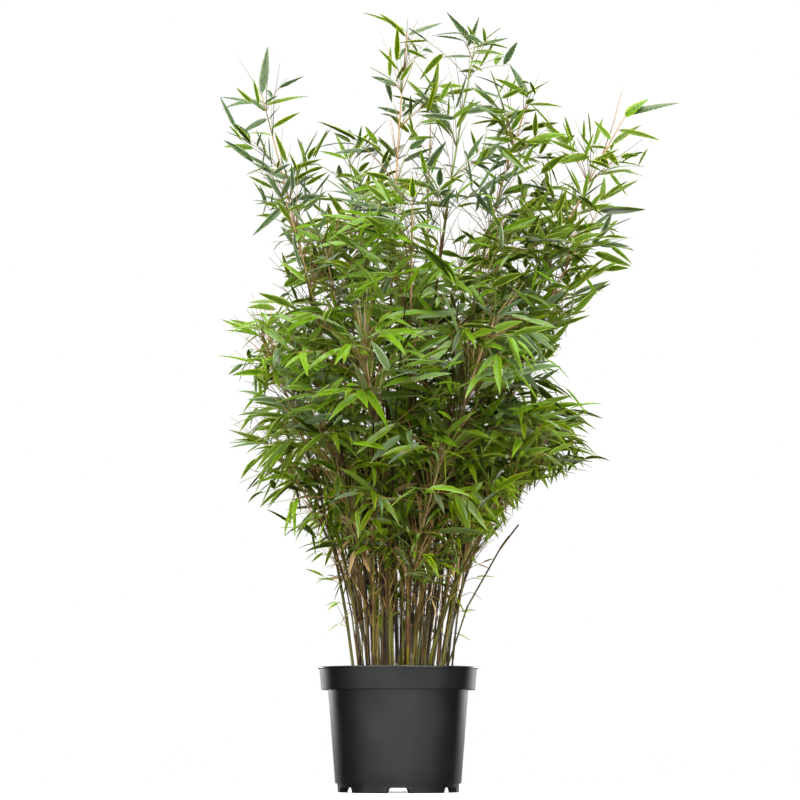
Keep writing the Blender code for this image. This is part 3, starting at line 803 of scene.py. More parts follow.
# Leaves that finish the tallest culms: share along the culm, reach to the right and up, width as a share of
# the length, sag, how far the leaf shows its broad side, and its tone as counted in leafTones. Then the
# rolled leaves: reach to the right and up.
crests = {
    "plume_left": (
        ((1.00, 0.010, 0.090, 0.20, 0.00, 1.0, 3), (0.99, -0.075, 0.004, 0.18, 0.30, 0.9, 3),
         (0.985, 0.077, 0.027, 0.15, 0.12, 0.8, 2), (0.965, -0.052, -0.020, 0.26, 0.10, 0.9, 3),
         (0.95, 0.052, 0.030, 0.16, 0.05, 0.8, 2), (0.94, -0.045, 0.010, 0.16, 0.20, 0.6, 1)),
        ((-0.046, 0.075),)),
    "plume_centre_left": (
        ((1.00, -0.074, 0.044, 0.07, 0.20, 0.8, 2), (0.995, 0.064, 0.024, 0.14, 0.05, 0.85, 3),
         (0.98, 0.030, 0.004, 0.14, 0.50, 0.6, 2), (0.975, -0.014, -0.022, 0.30, 0.10, 0.9, 3)),
        ((0.000, 0.020),)),
    "plume_centre_right": (
        ((1.00, -0.051, 0.060, 0.17, 0.02, 1.0, 3), (0.995, 0.060, 0.024, 0.14, 0.08, 0.9, 3),
         (0.98, -0.056, 0.006, 0.11, 0.10, 0.75, 3), (0.965, 0.022, -0.010, 0.22, 0.05, 0.9, 2)),
        ((0.001, 0.020),)),
    "plume_right_of_centre": (
        ((1.00, -0.035, 0.064, 0.24, 0.05, 1.0, 3), (0.99, 0.064, 0.004, 0.11, 0.15, 0.75, 2),
         (0.97, -0.040, 0.030, 0.16, 0.05, 0.7, 1)),
        ((0.020, 0.050),)),
    "plume_right": (
        ((1.00, 0.095, 0.024, 0.16, 0.06, 0.9, 3), (0.995, 0.044, 0.034, 0.34, 0.03, 1.0, 1),
         (0.97, 0.078, -0.012, 0.14, 0.10, 0.9, 2), (0.93, 0.026, -0.026, 0.34, 0.10, 1.0, 2),
         (0.95, -0.030, 0.036, 0.22, 0.05, 0.9, 1)),
        ((0.030, 0.030),)),
}
# Elsewhere the tip carries a leaf that goes on from the stem, with one to each side.
tipForm = {
    "faceUp": 0.3,
    "longest": 0.085,
    "sideLength": 0.065,
    "aside": 1.2,
    "sideRise": 0.15,
    "sideSag": 0.12,
    "sideFace": 0.7,
    "aroundSpread": 0.5,
    "crestSpread": 0.3,
    "needleSag": 0.02,
    "needleRadii": (0.0009, 0.0002),
}


def growCrest(mass, culm, kind, rng, place):
    around = tipForm["aroundSpread"]
    top = arcPoint(culm, 1.0)
    broadside = Vector((rng.uniform(-around, around), -1.0, tipForm["faceUp"]))
    if mass["name"] in crests:
        leafRows, needles = crests[mass["name"]]
        for share, right, rise, width, sag, shown, tone in leafRows:
            aside = rng.uniform(-tipForm["crestSpread"], tipForm["crestSpread"]) * abs(right)
            reach = Vector((right, aside, rise))
            face = broadside * shown + up * (1 - shown)
            addLeaf(kind, arcPoint(culm, share), reach.normalized(), reach.length, rng, tone, sag, face=face,
                    widthShare=width)
        for right, rise in needles:
            reach = Vector((right, 0.0, rise))
            needle = branchPath(top, reach.normalized(), reach.length, -tipForm["needleSag"] * up)
            addTwig(needle, 4, *tipForm["needleRadii"], (greenTwigSlot,))
        return
    spear = mass["spear"] - mass["top"]
    tone = chooseTone(kind, top, rng)
    length = min(spear.length, tipForm["longest"])
    addLeaf(kind, top, spear.normalized(), length, rng, tone, 0.0, face=broadside)
    for side in (-1, 1):
        aside = Vector((side * tipForm["aside"], rng.uniform(-around, around), tipForm["sideRise"]))
        aim = (spear.normalized() + aside).normalized()
        addLeaf(kind, top, aim, tipForm["sideLength"], rng, tone, tipForm["sideSag"], place,
                face=broadside + up * tipForm["sideFace"])


def growStem(mass, culm, habit):
    # The stem goes on along the culm's arc to its top.
    shares = np.linspace(mass["cut"], 1.0, habit["stemPoints"])
    slimming = np.linspace(*habit["stemSlim"], habit["stemPoints"])
    radii = [culmRadius(culm, share) * slim for share, slim in zip(shares, slimming)]
    slot = greenTwigSlot if mass["name"] in greenStems else stemSlot
    stemTubes.add([arcPoint(culm, share) for share in shares], radii, habit["stemSides"], (slot,))


def growMass(mass, culm, rng):
    kind = mass["kind"]
    habit = {**everyKind, **growth[kind], **special.get(mass["name"], {})}
    mass = {**mass, "habit": habit, "halfHeight": habit.get("halfHeight", mass["halfHeight"])}
    place = (mass, arcPoint(culm, 0.5 + mass["cut"] / 2))
    growStem(mass, culm, habit)
    firstTurn = rng.uniform(0, math.tau)
    start = mass["cut"] - habit["below"]
    end, highest = habit["jointEnd"]
    for joint in range(habit["joints"]):
        shuffled = joint + rng.uniform(-habit["jointShuffle"], habit["jointShuffle"])
        share = start + (end - start) * shuffled / (habit["joints"] - 1)
        share = min(max(share, start), highest)
        root = arcPoint(culm, share)
        stemHeading = headingAt(lambda spot: arcPoint(culm, spot), share, clump["headingStep"])
        rise = max(0.0, (share - mass["cut"]) / (1 - mass["cut"]))
        taper = 1.0 - habit["topTaper"] * rise**2
        thinned = 1.0 - habit["thinning"] * rise**1.5
        count = round(rng.uniform(*habit["branches"]) * habit["fullness"] * thinned)
        turn = firstTurn + goldenAngle * joint
        for i in range(count):
            fan = (i - (count - 1) / 2) * math.radians(habit["fan"] / max(count, 1))
            fan += rng.uniform(-habit["fanShuffle"], habit["fanShuffle"])
            growBranch(kind, root, stemHeading, turn + fan, rng, place, taper)
        growBareShoots(root, stemHeading, rng, place)
    growCrest(mass, culm, kind, rng, place)


for i, mass in enumerate(masses):
    growMass(mass, planted[mass["name"]], random.Random(i + 1))

# Low on the clump: dry twigs and old sheath blades at the joints.
understory = {
    "heights": (0.26, 0.56),
    "firstSpread": 0.06,
    "topGap": 0.02,
    "spacing": 0.027,
    "spacingShares": (0.6, 1.5),
    "kept": 0.75,
    "angle": (8, 42),
    "bend": (-0.1, 0.4),
    "outlineShare": 0.9,
    "twigLength": (0.018, 0.075),
    "twigRadii": (0.0007, 0.0012),
    "twigEndRadius": 0.0003,
    "bladeShare": 0.50,
    "dryShare": 0.20,
    "bladeRoom": 0.03,
    "bladeDrop": (0.2, 1.6),
    "bladeLength": (0.025, 0.055),
    "bladeSag": 0.2,
}
# A few small leafy side shoots.
sideShoot = {
    # Height, side (-1 is left), twig length, leaves and whether they are dry.
    "each": ((0.358, -1, 0.034, 3, False), (0.322, -1, 0.016, 2, False), (0.283, -1, 0.020, 1, False),
             (0.309, 1, 0.022, 2, False), (0.273, 1, 0.010, 1, False), (0.338, 1, 0.030, 1, True),
             (0.388, 1, 0.034, 2, True), (0.400, -1, 0.040, 3, False), (0.365, 1, 0.030, 2, False)),
    "out": 0.75,
    "around": (-0.6, 0.1),
    "rise": 0.55,
    "sag": 0.2,
    "radii": (0.0009, 0.0005),
    "leafStep": 0.3,
    "leafOut": (0.5, 1.0),
    "leafAround": (-0.7, 0.2),
    "leafRise": (-0.5, 0.4),
    "leafLength": (0.022, 0.038),
    "leafSag": 0.15,
}
# Fallen leaves on the compost.
fallen = {
    "count": 16,
    "reach": (0.02, 0.095),
    "height": 0.004,
    "rise": 0.06,
    "length": (0.045, 0.065),
    "sag": 0.04,
    "span": 0.06,
    "potRoom": 0.122,            # inner radius of the pot at the compost
}


def pointAtHeight(culm, height):
    x, y = culmCourse(culm, np.array([height]))[:, 0]
    return Vector((x, y, height))


def growJointTwigs(culm, rng):
    lowest, highest = understory["heights"]
    height = lowest + rng.uniform(0, understory["firstSpread"])
    while height < min(highest, culm["top"].z - understory["topGap"]):
        if rng.random() < understory["kept"]:
            root, turn = pointAtHeight(culm, height), rng.uniform(0, math.tau)
            angle = math.radians(rng.uniform(*understory["angle"]))
            out = aroundAxis(turn, math.sin(angle), math.cos(angle))
            sag, amount = understory["bend"]
            length = rng.uniform(*understory["twigLength"])
            twig = branchPath(root, out, length, Vector((out.x, out.y, sag)) * amount)
            left, right = [reach * understory["outlineShare"] for reach in outlineAt(height)[:2]]
            if left < twig(1.0).x < right:
                radius = rng.uniform(*understory["twigRadii"])
                slot = rng.choice((tanTwigSlot, dryTwigSlot))
                addTwig(twig, 3, radius, understory["twigEndRadius"], (slot,))
            chance, reach = rng.random(), twig(1.0).x + understory["bladeRoom"] * out.x
            if chance < understory["bladeShare"] and left < reach < right:
                isDry = chance < understory["dryShare"]
                # Blades that aren't dry take the deep green or the dark tone, which paints shade low in the
                # clump as well as old leaves.
                tone = dryTone if isDry else rng.choice((deepTone, oldAndShadeTone, oldAndShadeTone))
                aim = (out - up * rng.uniform(*understory["bladeDrop"])).normalized()
                length = rng.uniform(*understory["bladeLength"])
                addLeaf("lower", twig(1.0), aim, length, rng, tone, understory["bladeSag"])
        height += understory["spacing"] * rng.uniform(*understory["spacingShares"])


def growSideShoot(height, side, length, leafCount, isDry, rng):
    standing = [culm for culm in planted.values() if culm["top"].z > height]
    culm = max(standing, key=lambda culm: side * pointAtHeight(culm, height).x)
    heading = Vector((side * sideShoot["out"], rng.uniform(*sideShoot["around"]), sideShoot["rise"]))
    twig = branchPath(pointAtHeight(culm, height), heading.normalized(), length, -sideShoot["sag"] * up)
    addTwig(twig, 4, *sideShoot["radii"], (dryTwigSlot if isDry else tanTwigSlot,))
    for i in range(leafCount):
        out, around, rise = (rng.uniform(*sideShoot[key]) for key in ("leafOut", "leafAround", "leafRise"))
        aim = Vector((side * out, around, rise)).normalized()
        tone = dryTone if isDry else rng.choice((fullTone, deepTone))
        root, leafLength = twig(1.0 - sideShoot["leafStep"] * i), rng.uniform(*sideShoot["leafLength"])
        addLeaf("lower", root, aim, leafLength, rng, tone, sideShoot["leafSag"])


def dropLeaf(rng):
    turn, reach = rng.uniform(0, math.tau), rng.uniform(*fallen["reach"])
    root = aroundAxis(turn, reach, compostTop + fallen["height"])
    aim = Vector((rng.uniform(-1, 1), rng.uniform(-1, 1), fallen["rise"])).normalized()
    if (root + aim * fallen["span"]).xy.length < fallen["potRoom"]:
        addLeaf("lower", root, aim, rng.uniform(*fallen["length"]), rng, dryTone, fallen["sag"])


def growUnderstory():
    rng = random.Random(29)
    for culm in list(planted.values()) + shoots:
        growJointTwigs(culm, rng)
    for each in sideShoot["each"]:
        growSideShoot(*each, rng)
    for i in range(fallen["count"]):
        dropLeaf(rng)


growUnderstory()
print("crown: " + ", ".join(f"{kind} {len(leaves.rows)}" for kind, leaves in leafSets.items()) + " leaves")


# Fresh bamboo foliage: a thin waxy skin with a soft gloss, paler and duller below.
leafTones = (
    # Pale and greyish: partly the paler green of young leaves, partly painted whitish sheen of lit leaves.
    ("youngAndSheenLeaf", "#6a8446", "#748c54"),
    ("fullLeaf", "#5b7f0c", "#66861e"),
    ("deepLeaf", "#4b6404", "#567012"),
    # Partly the leaves' waxy bloom, partly painted pale haze of backlight on the open tops.
    ("bloomAndBacklightLeaf", "#4a6036", "#596f44"),
    # Partly old dark leaves, partly painted shade low under the crown.
    ("oldAndShadeLeaf", "#263402", "#323f0a"),
    ("dryLeaf", "#8a6f3e", "#7c653c"),
)

leafFlesh = {"Subsurface Weight": 0.8, "Subsurface Radius": (1.0, 1.0, 1.0), "Subsurface Scale": 0.0007}
leafSides = (("Upper", {"Roughness": 0.24, "IOR": 1.42}), ("Under", {"Roughness": 0.55, "IOR": 1.34}))
foliageMaterials = [newMaterial(name + side, {"Base Color": code, **finish, **leafFlesh})
                    for name, *codes in leafTones for code, (side, finish) in zip(codes, leafSides)]
for kind, leaves in leafSets.items():
    piece = leaves.piece(f"leaves_{kind}", foliageMaterials)
    finishPiece(piece, nodesNamed(f"foliage_{kind}"))

# Papery sheaths and thin woody twigs, matt and fibrous: colour, roughness and IOR, in the order of the slots.
twigFinishes = (
    ("sheathedStem", "#aa8c62", 0.60, 1.45),
    ("sheathedTwig", "#8a6c3c", 0.65, 1.32),
    ("greenTwig", "#72862e", 0.50, 1.45),
    ("dryTwig", "#52391a", 0.70, 1.30),
)
twigMaterials = [newMaterial(name, {"Base Color": code, "Roughness": roughness, "IOR": ior})
                 for name, code, roughness, ior in twigFinishes]
finishPiece(stemTubes.piece("stems", twigMaterials), [])
finishPiece(twigTubes.piece("twigs", twigMaterials), [])


# Canes: smooth internodes with a swollen ring at each node, green and gold low down, weathered brown here and
# there.
cane = {
    "internode": 0.085,
    "internodeSpread": 0.035,
    "firstNode": (0.02, 0.06),
    "bareEnd": 0.02,             # no node stands nearer to the cane's end, as a share of its length
    "slim": (0.56, 0.86),        # radius as a share of the culm's
    "lengthSteps": 20,
    "sunk": 0.012,               # how far the canes go on into the compost
    "ringHeight": 0.0028,
    # Ring: place as a share of its height, and radius as a share of the cane's.
    "ringProfile": ((-1.0, 1.0), (-0.35, 1.18), (0.0, 1.18), (0.6, 1.02)),
    "sides": 10,
    "tones": (0.50, 0.36, 0.14),        # share of green, gold and brown
    "shootTones": (0.25, 0.15, 0.60),
    "toneChange": 0.35,          # chance at each node
    "sheathShare": 0.46,
    "sheathReach": (0.45, 0.9),
    "sheathTones": (0.4, 0.3, 0.3),     # share of pale, pink and old
    "sheathGap": 0.00045,
    "sheathInset": 0.0002,
    "sheathMouth": 0.001,
    "sheathTilt": 0.004,
    "sheathSides": 8,
    "sheathPoints": 5,
}
# The canes' own green, gold and brown are darkened to paint the shade that the crown casts on the clump.
caneFinishes = (
    ("greenCane", "#403e00", "#181700", 0.50),
    ("goldCane", "#524800", "#262000", 0.50),
    ("brownCane", "#241705", "#0e0801", 0.58),
    ("nodeRing", "#3e3010", "#1c1304", 0.55),
)
# The sheaths' own colours are darkened too, to paint the crown's shade on the clump.
sheathFinishes = (
    ("paleSheath", "#533d0e", "#281c04", 0.68),
    ("pinkSheath", "#493012", "#231505", 0.68),
    ("oldSheath", "#2f2008", "#160e02", 0.72),
)
ringSlot = 3


def nodeShares(length, cut, rng):
    place = rng.uniform(*cane["firstNode"])
    nodes = []
    while place / length < cut - cane["bareEnd"]:
        nodes.append(place / length)
        place += cane["internode"] + rng.uniform(-1, 1) * cane["internodeSpread"]
    return nodes


def addCane(tubes, culm, cut, tones, slim, length, nodes, rng):
    shares, radii, slots = [-cane["sunk"] / length], [culm["radius"] * slim], []
    tone = rng.choices((0, 1, 2), weights=tones)[0]
    ring = cane["ringHeight"] / length
    for node in nodes:
        for step, swell in cane["ringProfile"]:
            shares.append(node + step * ring)
            radii.append(culmRadius(culm, node) * slim * swell)
        slots += [tone, ringSlot, ringSlot, ringSlot]
        if rng.random() < cane["toneChange"]:
            tone = rng.choices((0, 1, 2), weights=tones)[0]
    shares.append(cut)
    radii.append(culmRadius(culm, cut) * slim)
    slots.append(tone)
    tubes.add([arcPoint(culm, share) for share in np.array(shares)], radii, cane["sides"], slots)


def addSheaths(tubes, culm, cut, slim, nodes, rng):
    # An old sheath starts at a node and stands round the cane above it, with its mouth drawn in.
    for node, after in zip(nodes, nodes[1:] + [cut]):
        if rng.random() > cane["sheathShare"]:
            continue
        top = node + (after - node) * rng.uniform(*cane["sheathReach"])
        steps = np.linspace(node, top, cane["sheathPoints"])
        radii = [culmRadius(culm, share) * slim + cane["sheathGap"] for share in steps]
        radii[-1] = culmRadius(culm, top) * slim - cane["sheathInset"]
        steps[-1] = steps[-2] + cane["sheathMouth"]
        slot = rng.choices((0, 1, 2), weights=cane["sheathTones"])[0]
        tubes.add([arcPoint(culm, share) for share in steps], radii, cane["sheathSides"], (slot,),
                  tilt=cane["sheathTilt"])


def growCanes():
    canes, sheaths = TubeSet(), TubeSet()
    rng = random.Random(5)
    every = [(planted[mass["name"]], mass["cut"], cane["tones"]) for mass in masses]
    every += [(planted[name], 1.0, cane["tones"]) for name, top, radius in thinCulms()]
    every += [(shoot, 1.0, cane["shootTones"]) for shoot in shoots]
    for culm, cut, tones in every:
        slim = rng.uniform(*cane["slim"])
        course = [arcPoint(culm, i / cane["lengthSteps"]) for i in range(cane["lengthSteps"] + 1)]
        length = sum((after - before).length for before, after in zip(course, course[1:]))
        nodes = nodeShares(length, cut, rng)
        addCane(canes, culm, cut, tones, slim, length, nodes, rng)
        addSheaths(sheaths, culm, cut, slim, nodes, rng)
    return canes, sheaths


def caneMaterial(name, light, dark, roughness):
    # Waxy bamboo skin: streaks run up the cane, about 1 mm wide and 60 mm long, so the pattern is squeezed
    # along Z, with blotches of some 26 mm.
    material = newMaterial(name, {"Roughness": roughness, "IOR": 1.26})
    place = addNode(material, "TexCoord").outputs["Object"]
    squeezed = addNode(material, "Mapping", {"Scale": (900, 900, 16)}, {"Vector": place})
    streaks = addNode(material, "TexNoise", {"Scale": 1.0, "Detail": 3.0},
                      {"Vector": squeezed.outputs["Vector"]})
    blotches = addNode(material, "TexNoise", {"Scale": 38.0, "Detail": 4.0}, {"Vector": place})
    both = addNode(material, "Math", {"operation": "ADD"},
                   {0: streaks.outputs["Fac"], 1: blotches.outputs["Fac"]})
    half = addNode(material, "Math", {"operation": "MULTIPLY", 1: 0.5}, {0: both.outputs["Value"]})
    ramp = addNode(material, "ValToRGB", {"stops": ((0.30, dark), (0.62, light))},
                   {"Fac": half.outputs["Value"]})
    addNode(material, "Shader", links={"Base Color": ramp.outputs["Color"]})
    return material


canes, sheaths = growCanes()
caneMaterials = [caneMaterial(*finish) for finish in caneFinishes]
sheathMaterials = [caneMaterial(*finish) for finish in sheathFinishes]
finishPiece(canes.piece("canes", caneMaterials), nodesNamed("culm_", "thin_culm_"))
finishPiece(sheaths.piece("sheaths", sheathMaterials), [])


# Pot: black polypropylene, injection moulded, with a satin face, a fine grain and a flange round the rim.
pot = {
    "rimRadius": 0.1400,
    "height": 0.2160,
    "lipThickness": 0.0030,
    "bandTopRadius": 0.1372,
    "bandFootRadius": 0.1340,
    "bandHeight": 0.0395,
    "wallTopRadius": 0.1220,
    "wallFootRadius": 0.1095,
    "wallThickness": 0.0022,
    "footRadius": 0.1060,
    "footHeight": 0.0154,
    "footWidth": 0.0130,
    "floorUnderside": 0.0105,
    "notchCount": 6,
    "notchHeight": 0.0092,
    "notchWidth": (0.020, 0.043),   # inside and outside
    "notchSpread": 0.006,
    # How far the notch cutter passes the foot ring inside, outside and below.
    "notchMargins": (0.012, 0.010, 0.004),
    "drainRadius": 0.007,
    "drainDepth": 0.02,
    "drainRing": 0.076,
    "lipSteps": 6,
    "footTaper": 0.001,
    "footInnerTaper": 0.002,
    "edgeRound": 0.0006,
    "sides": 128,
}


def selectOnly(piece):
    bpy.ops.object.select_all(action="DESELECT")
    piece.select_set(True)
    bpy.context.view_layer.objects.active = piece


def turnRings(name, rings, sides):
    # A closed turned shape: a disc is extruded ring by ring, and each ring is resized about the pot's axis.
    bpy.ops.object.select_all(action="DESELECT")
    radius, height = rings[0]
    bpy.ops.mesh.primitive_circle_add(vertices=sides, radius=radius, fill_type="NGON",
                                      location=(potAxis.x, potAxis.y, height))
    piece = bpy.context.active_object
    piece.name = name
    bpy.ops.object.transform_apply(location=True, rotation=True, scale=True)
    bpy.ops.object.mode_set(mode="EDIT")
    bpy.ops.mesh.select_all(action="SELECT")
    for nextRadius, nextHeight in rings[1:]:
        bpy.ops.mesh.extrude_region_move(TRANSFORM_OT_translate={"value": (0, 0, nextHeight - height)})
        ratio = nextRadius / radius
        centre = (potAxis.x, potAxis.y, nextHeight)
        bpy.ops.transform.resize(value=(ratio, ratio, 1.0), center_override=centre)
        radius, height = nextRadius, nextHeight
    bpy.ops.mesh.select_all(action="SELECT")
    bpy.ops.mesh.remove_doubles(threshold=0.00001)
    bpy.ops.mesh.normals_make_consistent(inside=False)
    bpy.ops.object.mode_set(mode="OBJECT")
    return piece


def shapeWith(piece, kind, **settings):
    # Gives a piece a modifier and applies it.
    modifier = piece.modifiers.new(kind.lower(), kind)
    for name, value in settings.items():
        setattr(modifier, name, value)
    selectOnly(piece)
    bpy.ops.object.modifier_apply(modifier=modifier.name)


def smoothByAngle(piece, degrees):
    selectOnly(piece)
    bpy.ops.object.shade_smooth_by_angle(angle=math.radians(degrees))


def potRings():
    wall, lip = pot["wallThickness"], pot["lipThickness"] / 2
    bandFoot = pot["height"] - pot["bandHeight"]
    footInner = pot["footRadius"] - pot["footWidth"]
    lipArc = [(pot["rimRadius"] - lip + lip * math.sin(turn), pot["height"] - lip + lip * math.cos(turn))
              for turn in np.linspace(0, math.pi, pot["lipSteps"])]
    return [
        (pot["footRadius"] - wall, pot["floorUnderside"] + wall),
        (pot["wallFootRadius"] - wall, pot["footHeight"] + wall),
        (pot["wallTopRadius"] - wall, bandFoot + wall),
        (pot["bandFootRadius"] - wall, bandFoot + wall),
        (pot["bandTopRadius"] - wall, pot["height"]),
        *lipArc,
        (pot["bandTopRadius"], pot["height"] - pot["lipThickness"]),
        (pot["bandFootRadius"], bandFoot),
        (pot["wallTopRadius"], bandFoot),
        (pot["wallFootRadius"], pot["footHeight"]),
        (pot["footRadius"], pot["footHeight"]),
        (pot["footRadius"] - pot["footTaper"], 0.0),
        (footInner, 0.0),
        (footInner - pot["footInnerTaper"], pot["floorUnderside"]),
    ]


def notchCutter():
    # A wedge at the foot, wider outside and towards the ground.
    inside, outside, below = pot["notchMargins"]
    reach = (pot["footRadius"] - pot["footWidth"] - inside, pot["footRadius"] + outside)
    bpy.ops.object.select_all(action="DESELECT")
    bpy.ops.mesh.primitive_cube_add(size=1.0)
    cutter = bpy.context.active_object
    for vertex in cutter.data.vertices:
        isOutside, isLow = vertex.co.x > 0, vertex.co.z < 0
        half = pot["notchWidth"][isOutside] / 2 + (pot["notchSpread"] if isLow else 0.0)
        height = -below if isLow else pot["notchHeight"]
        vertex.co = (reach[isOutside], math.copysign(half, vertex.co.y), height)
    return cutter


def drainCutter():
    bpy.ops.object.select_all(action="DESELECT")
    bpy.ops.mesh.primitive_cylinder_add(vertices=24, radius=pot["drainRadius"], depth=pot["drainDepth"],
                                        location=(pot["drainRing"], 0.0, pot["floorUnderside"]))
    bpy.ops.object.transform_apply(location=True, rotation=True, scale=True)
    return bpy.context.active_object


def cutAround(piece, cutter, firstTurn):
    # The cutter stands at +X of the pot's axis, and is turned about it, and removed after the last cut.
    for i in range(pot["notchCount"]):
        turn = firstTurn + i * math.tau / pot["notchCount"]
        cutter.matrix_world = Matrix.Translation(potAxis) @ Matrix.Rotation(turn, 4, "Z")
        bpy.context.view_layer.update()
        shapeWith(piece, "BOOLEAN", operation="DIFFERENCE", object=cutter)
    bpy.data.objects.remove(cutter)


def mouldedPot():
    piece = turnRings("nursery_pot", potRings(), pot["sides"])
    front = -math.pi / 2
    cutAround(piece, notchCutter(), front)
    cutAround(piece, drainCutter(), front + math.pi / pot["notchCount"])
    shapeWith(piece, "BEVEL", width=pot["edgeRound"], segments=2, limit_method="ANGLE",
              angle_limit=math.radians(35))
    smoothByAngle(piece, 30)
    return piece


def mouldedPolypropylene():
    # Satin black plastic: low sheen with slow changes over some 60 mm, a mould grain of about 0.7 mm, and a
    # film of dust low on the wall.
    material = newMaterial("mouldedPolypropylene", {"IOR": 1.54})
    place = addNode(material, "TexCoord").outputs["Object"]
    slow = addNode(material, "TexNoise", {"Scale": 16.0, "Detail": 3.0}, {"Vector": place})
    sheen = addNode(material, "MapRange", {"From Min": 0.3, "From Max": 0.7, "To Min": 0.34, "To Max": 0.40},
                    {"Value": slow.outputs["Fac"]})
    grain = addNode(material, "TexNoise", {"Scale": 1400.0, "Detail": 1.0}, {"Vector": place})
    bump = addNode(material, "Bump", {"Strength": 0.05, "Distance": 0.0003}, {"Height": grain.outputs["Fac"]})
    height = addNode(material, "SeparateXYZ", links={"Vector": place})
    low = addNode(material, "MapRange", {"From Min": 0.005, "From Max": 0.060, "To Min": 0.55, "To Max": 0.0},
                  {"Value": height.outputs["Z"]})
    patches = addNode(material, "TexNoise", {"Scale": 30.0, "Detail": 5.0}, {"Vector": place})
    spots = addNode(material, "MapRange", {"From Min": 0.50, "From Max": 0.75},
                    {"Value": patches.outputs["Fac"]})
    dust = addNode(material, "Math", {"operation": "MULTIPLY"},
                   {0: low.outputs["Result"], 1: spots.outputs["Result"]})
    colour = addNode(material, "ValToRGB", {"stops": ((0.0, "#020203"), (1.0, "#171716"))},
                     {"Fac": dust.outputs["Value"]})
    addNode(material, "Shader", links={"Base Color": colour.outputs["Color"],
                                       "Roughness": sheen.outputs["Result"],
                                       "Normal": bump.outputs["Normal"]})
    return material


potPiece = mouldedPot()
potPiece.data.materials.append(mouldedPolypropylene())
finishPiece(potPiece, ["pot"])


# Compost: dark peat and fibre, uneven on top, with bark chips.
compost = {
    "gap": 0.0010,
    "seat": 0.0003,
    "topRings": (0.112, 0.100, 0.088, 0.076, 0.064, 0.052, 0.040, 0.028, 0.016, 0.006),
    "relief": 0.005,
    "lumpSize": 0.018,
    "chipCount": 620,
    "chipLength": (0.004, 0.016),
    "chipWidth": (0.002, 0.007),
    "chipThickness": (0.0010, 0.0030),
    "levelTolerance": 0.0001,
    "rimTolerance": 0.001,
    "chipUneven": 0.25,
    "chipTilt": 0.25,
    "chipRise": 0.0025,
    "chipTones": (5, 4, 1),      # dark, brown and pale
    "sides": 72,
}
# Broken bark, matt and dry.
barkTones = (("darkBark", "#2b1c12"), ("brownBark", "#4a321f"), ("paleBark", "#7d6244"))


def compostFilling():
    inset = pot["wallThickness"] + compost["gap"]
    step = pot["height"] - pot["bandHeight"] + pot["wallThickness"] + compost["seat"]
    rise = (compostTop - step) / pot["bandHeight"]
    topRadius = pot["bandFootRadius"] - inset + rise * (pot["bandTopRadius"] - pot["bandFootRadius"])
    rings = [(pot["footRadius"] - inset, pot["floorUnderside"] + pot["wallThickness"] + compost["seat"]),
             (pot["wallFootRadius"] - inset, pot["footHeight"] + pot["wallThickness"] + compost["gap"]),
             (pot["wallTopRadius"] - inset, step), (pot["bandFootRadius"] - inset, step)]
    rings += [(radius, compostTop) for radius in (topRadius, *compost["topRings"])]
    piece = turnRings("compost_filling", rings, compost["sides"])
    level, inside = compostTop - compost["levelTolerance"], topRadius - compost["rimTolerance"]
    top = [vertex.index for vertex in piece.data.vertices
           if vertex.co.z > level and (vertex.co - potAxis).xy.length < inside]
    piece.vertex_groups.new(name="top").add(top, 1.0, "REPLACE")
    lumps = bpy.data.textures.new("lumps", "CLOUDS")
    lumps.noise_scale = compost["lumpSize"]
    shapeWith(piece, "DISPLACE", texture=lumps, strength=compost["relief"], direction="Z",
              texture_coords="LOCAL", vertex_group="top")
    smoothByAngle(piece, 50)
    return piece


def barkChips():
    rng = random.Random(83)
    corners = np.array([(x, y, z) for x in (-0.5, 0.5) for y in (-0.5, 0.5) for z in (-0.5, 0.5)])
    sides = ((0, 1, 3, 2), (4, 6, 7, 5), (0, 4, 5, 1), (2, 3, 7, 6), (0, 2, 6, 4), (1, 5, 7, 3))
    vertices, faces, slots = [], [], []
    for i in range(compost["chipCount"]):
        size = np.array([rng.uniform(*compost[key]) for key in ("chipLength", "chipWidth", "chipThickness")])
        uneven = np.array([[rng.uniform(-1, 1) for axis in range(3)] for corner in corners])
        shape = corners * size * (1 + compost["chipUneven"] * uneven)
        heading, tilt = rng.uniform(0, math.pi), rng.gauss(0, compost["chipTilt"])
        turned = Matrix.Rotation(heading, 3, "Z") @ Matrix.Rotation(tilt, 3, "Y")
        turn, reach = rng.uniform(0, math.tau), pot["wallTopRadius"] * math.sqrt(rng.uniform(0, 1))
        height = compostTop + rng.uniform(0.0, compost["chipRise"])
        spot = (reach * math.cos(turn), reach * math.sin(turn), height)
        vertices.append(shape @ np.array(turned.transposed()) + spot)
        faces += [tuple(8 * i + corner for corner in side) for side in sides]
        slots += rng.choices(range(3), weights=compost["chipTones"]) * len(sides)
    materials = [newMaterial(name, {"Base Color": code, "Roughness": 0.85, "IOR": 1.45})
                 for name, code in barkTones]
    return pieceFromArrays("bark_chips", np.concatenate(vertices), faces, slots, materials, smooth=False)


def peatCompost():
    # Peat and coir fibre: matt, blotched over some 8 mm, with crumbs of about 1.5 mm.
    material = newMaterial("peatCompost", {"Roughness": 0.95, "IOR": 1.40})
    place = addNode(material, "TexCoord").outputs["Object"]
    blotches = addNode(material, "TexNoise", {"Scale": 120.0, "Detail": 6.0, "Roughness": 0.7},
                       {"Vector": place})
    stops = ((0.35, "#120c08"), (0.55, "#2a1d13"), (0.75, "#4b3826"))
    colour = addNode(material, "ValToRGB", {"stops": stops}, {"Fac": blotches.outputs["Fac"]})
    crumbs = addNode(material, "TexVoronoi", {"Scale": 650.0}, {"Vector": place})
    bump = addNode(material, "Bump", {"Strength": 0.8, "Distance": 0.0015},
                   {"Height": crumbs.outputs["Distance"]})
    addNode(material, "Shader",
            links={"Base Color": colour.outputs["Color"], "Normal": bump.outputs["Normal"]})
    return material


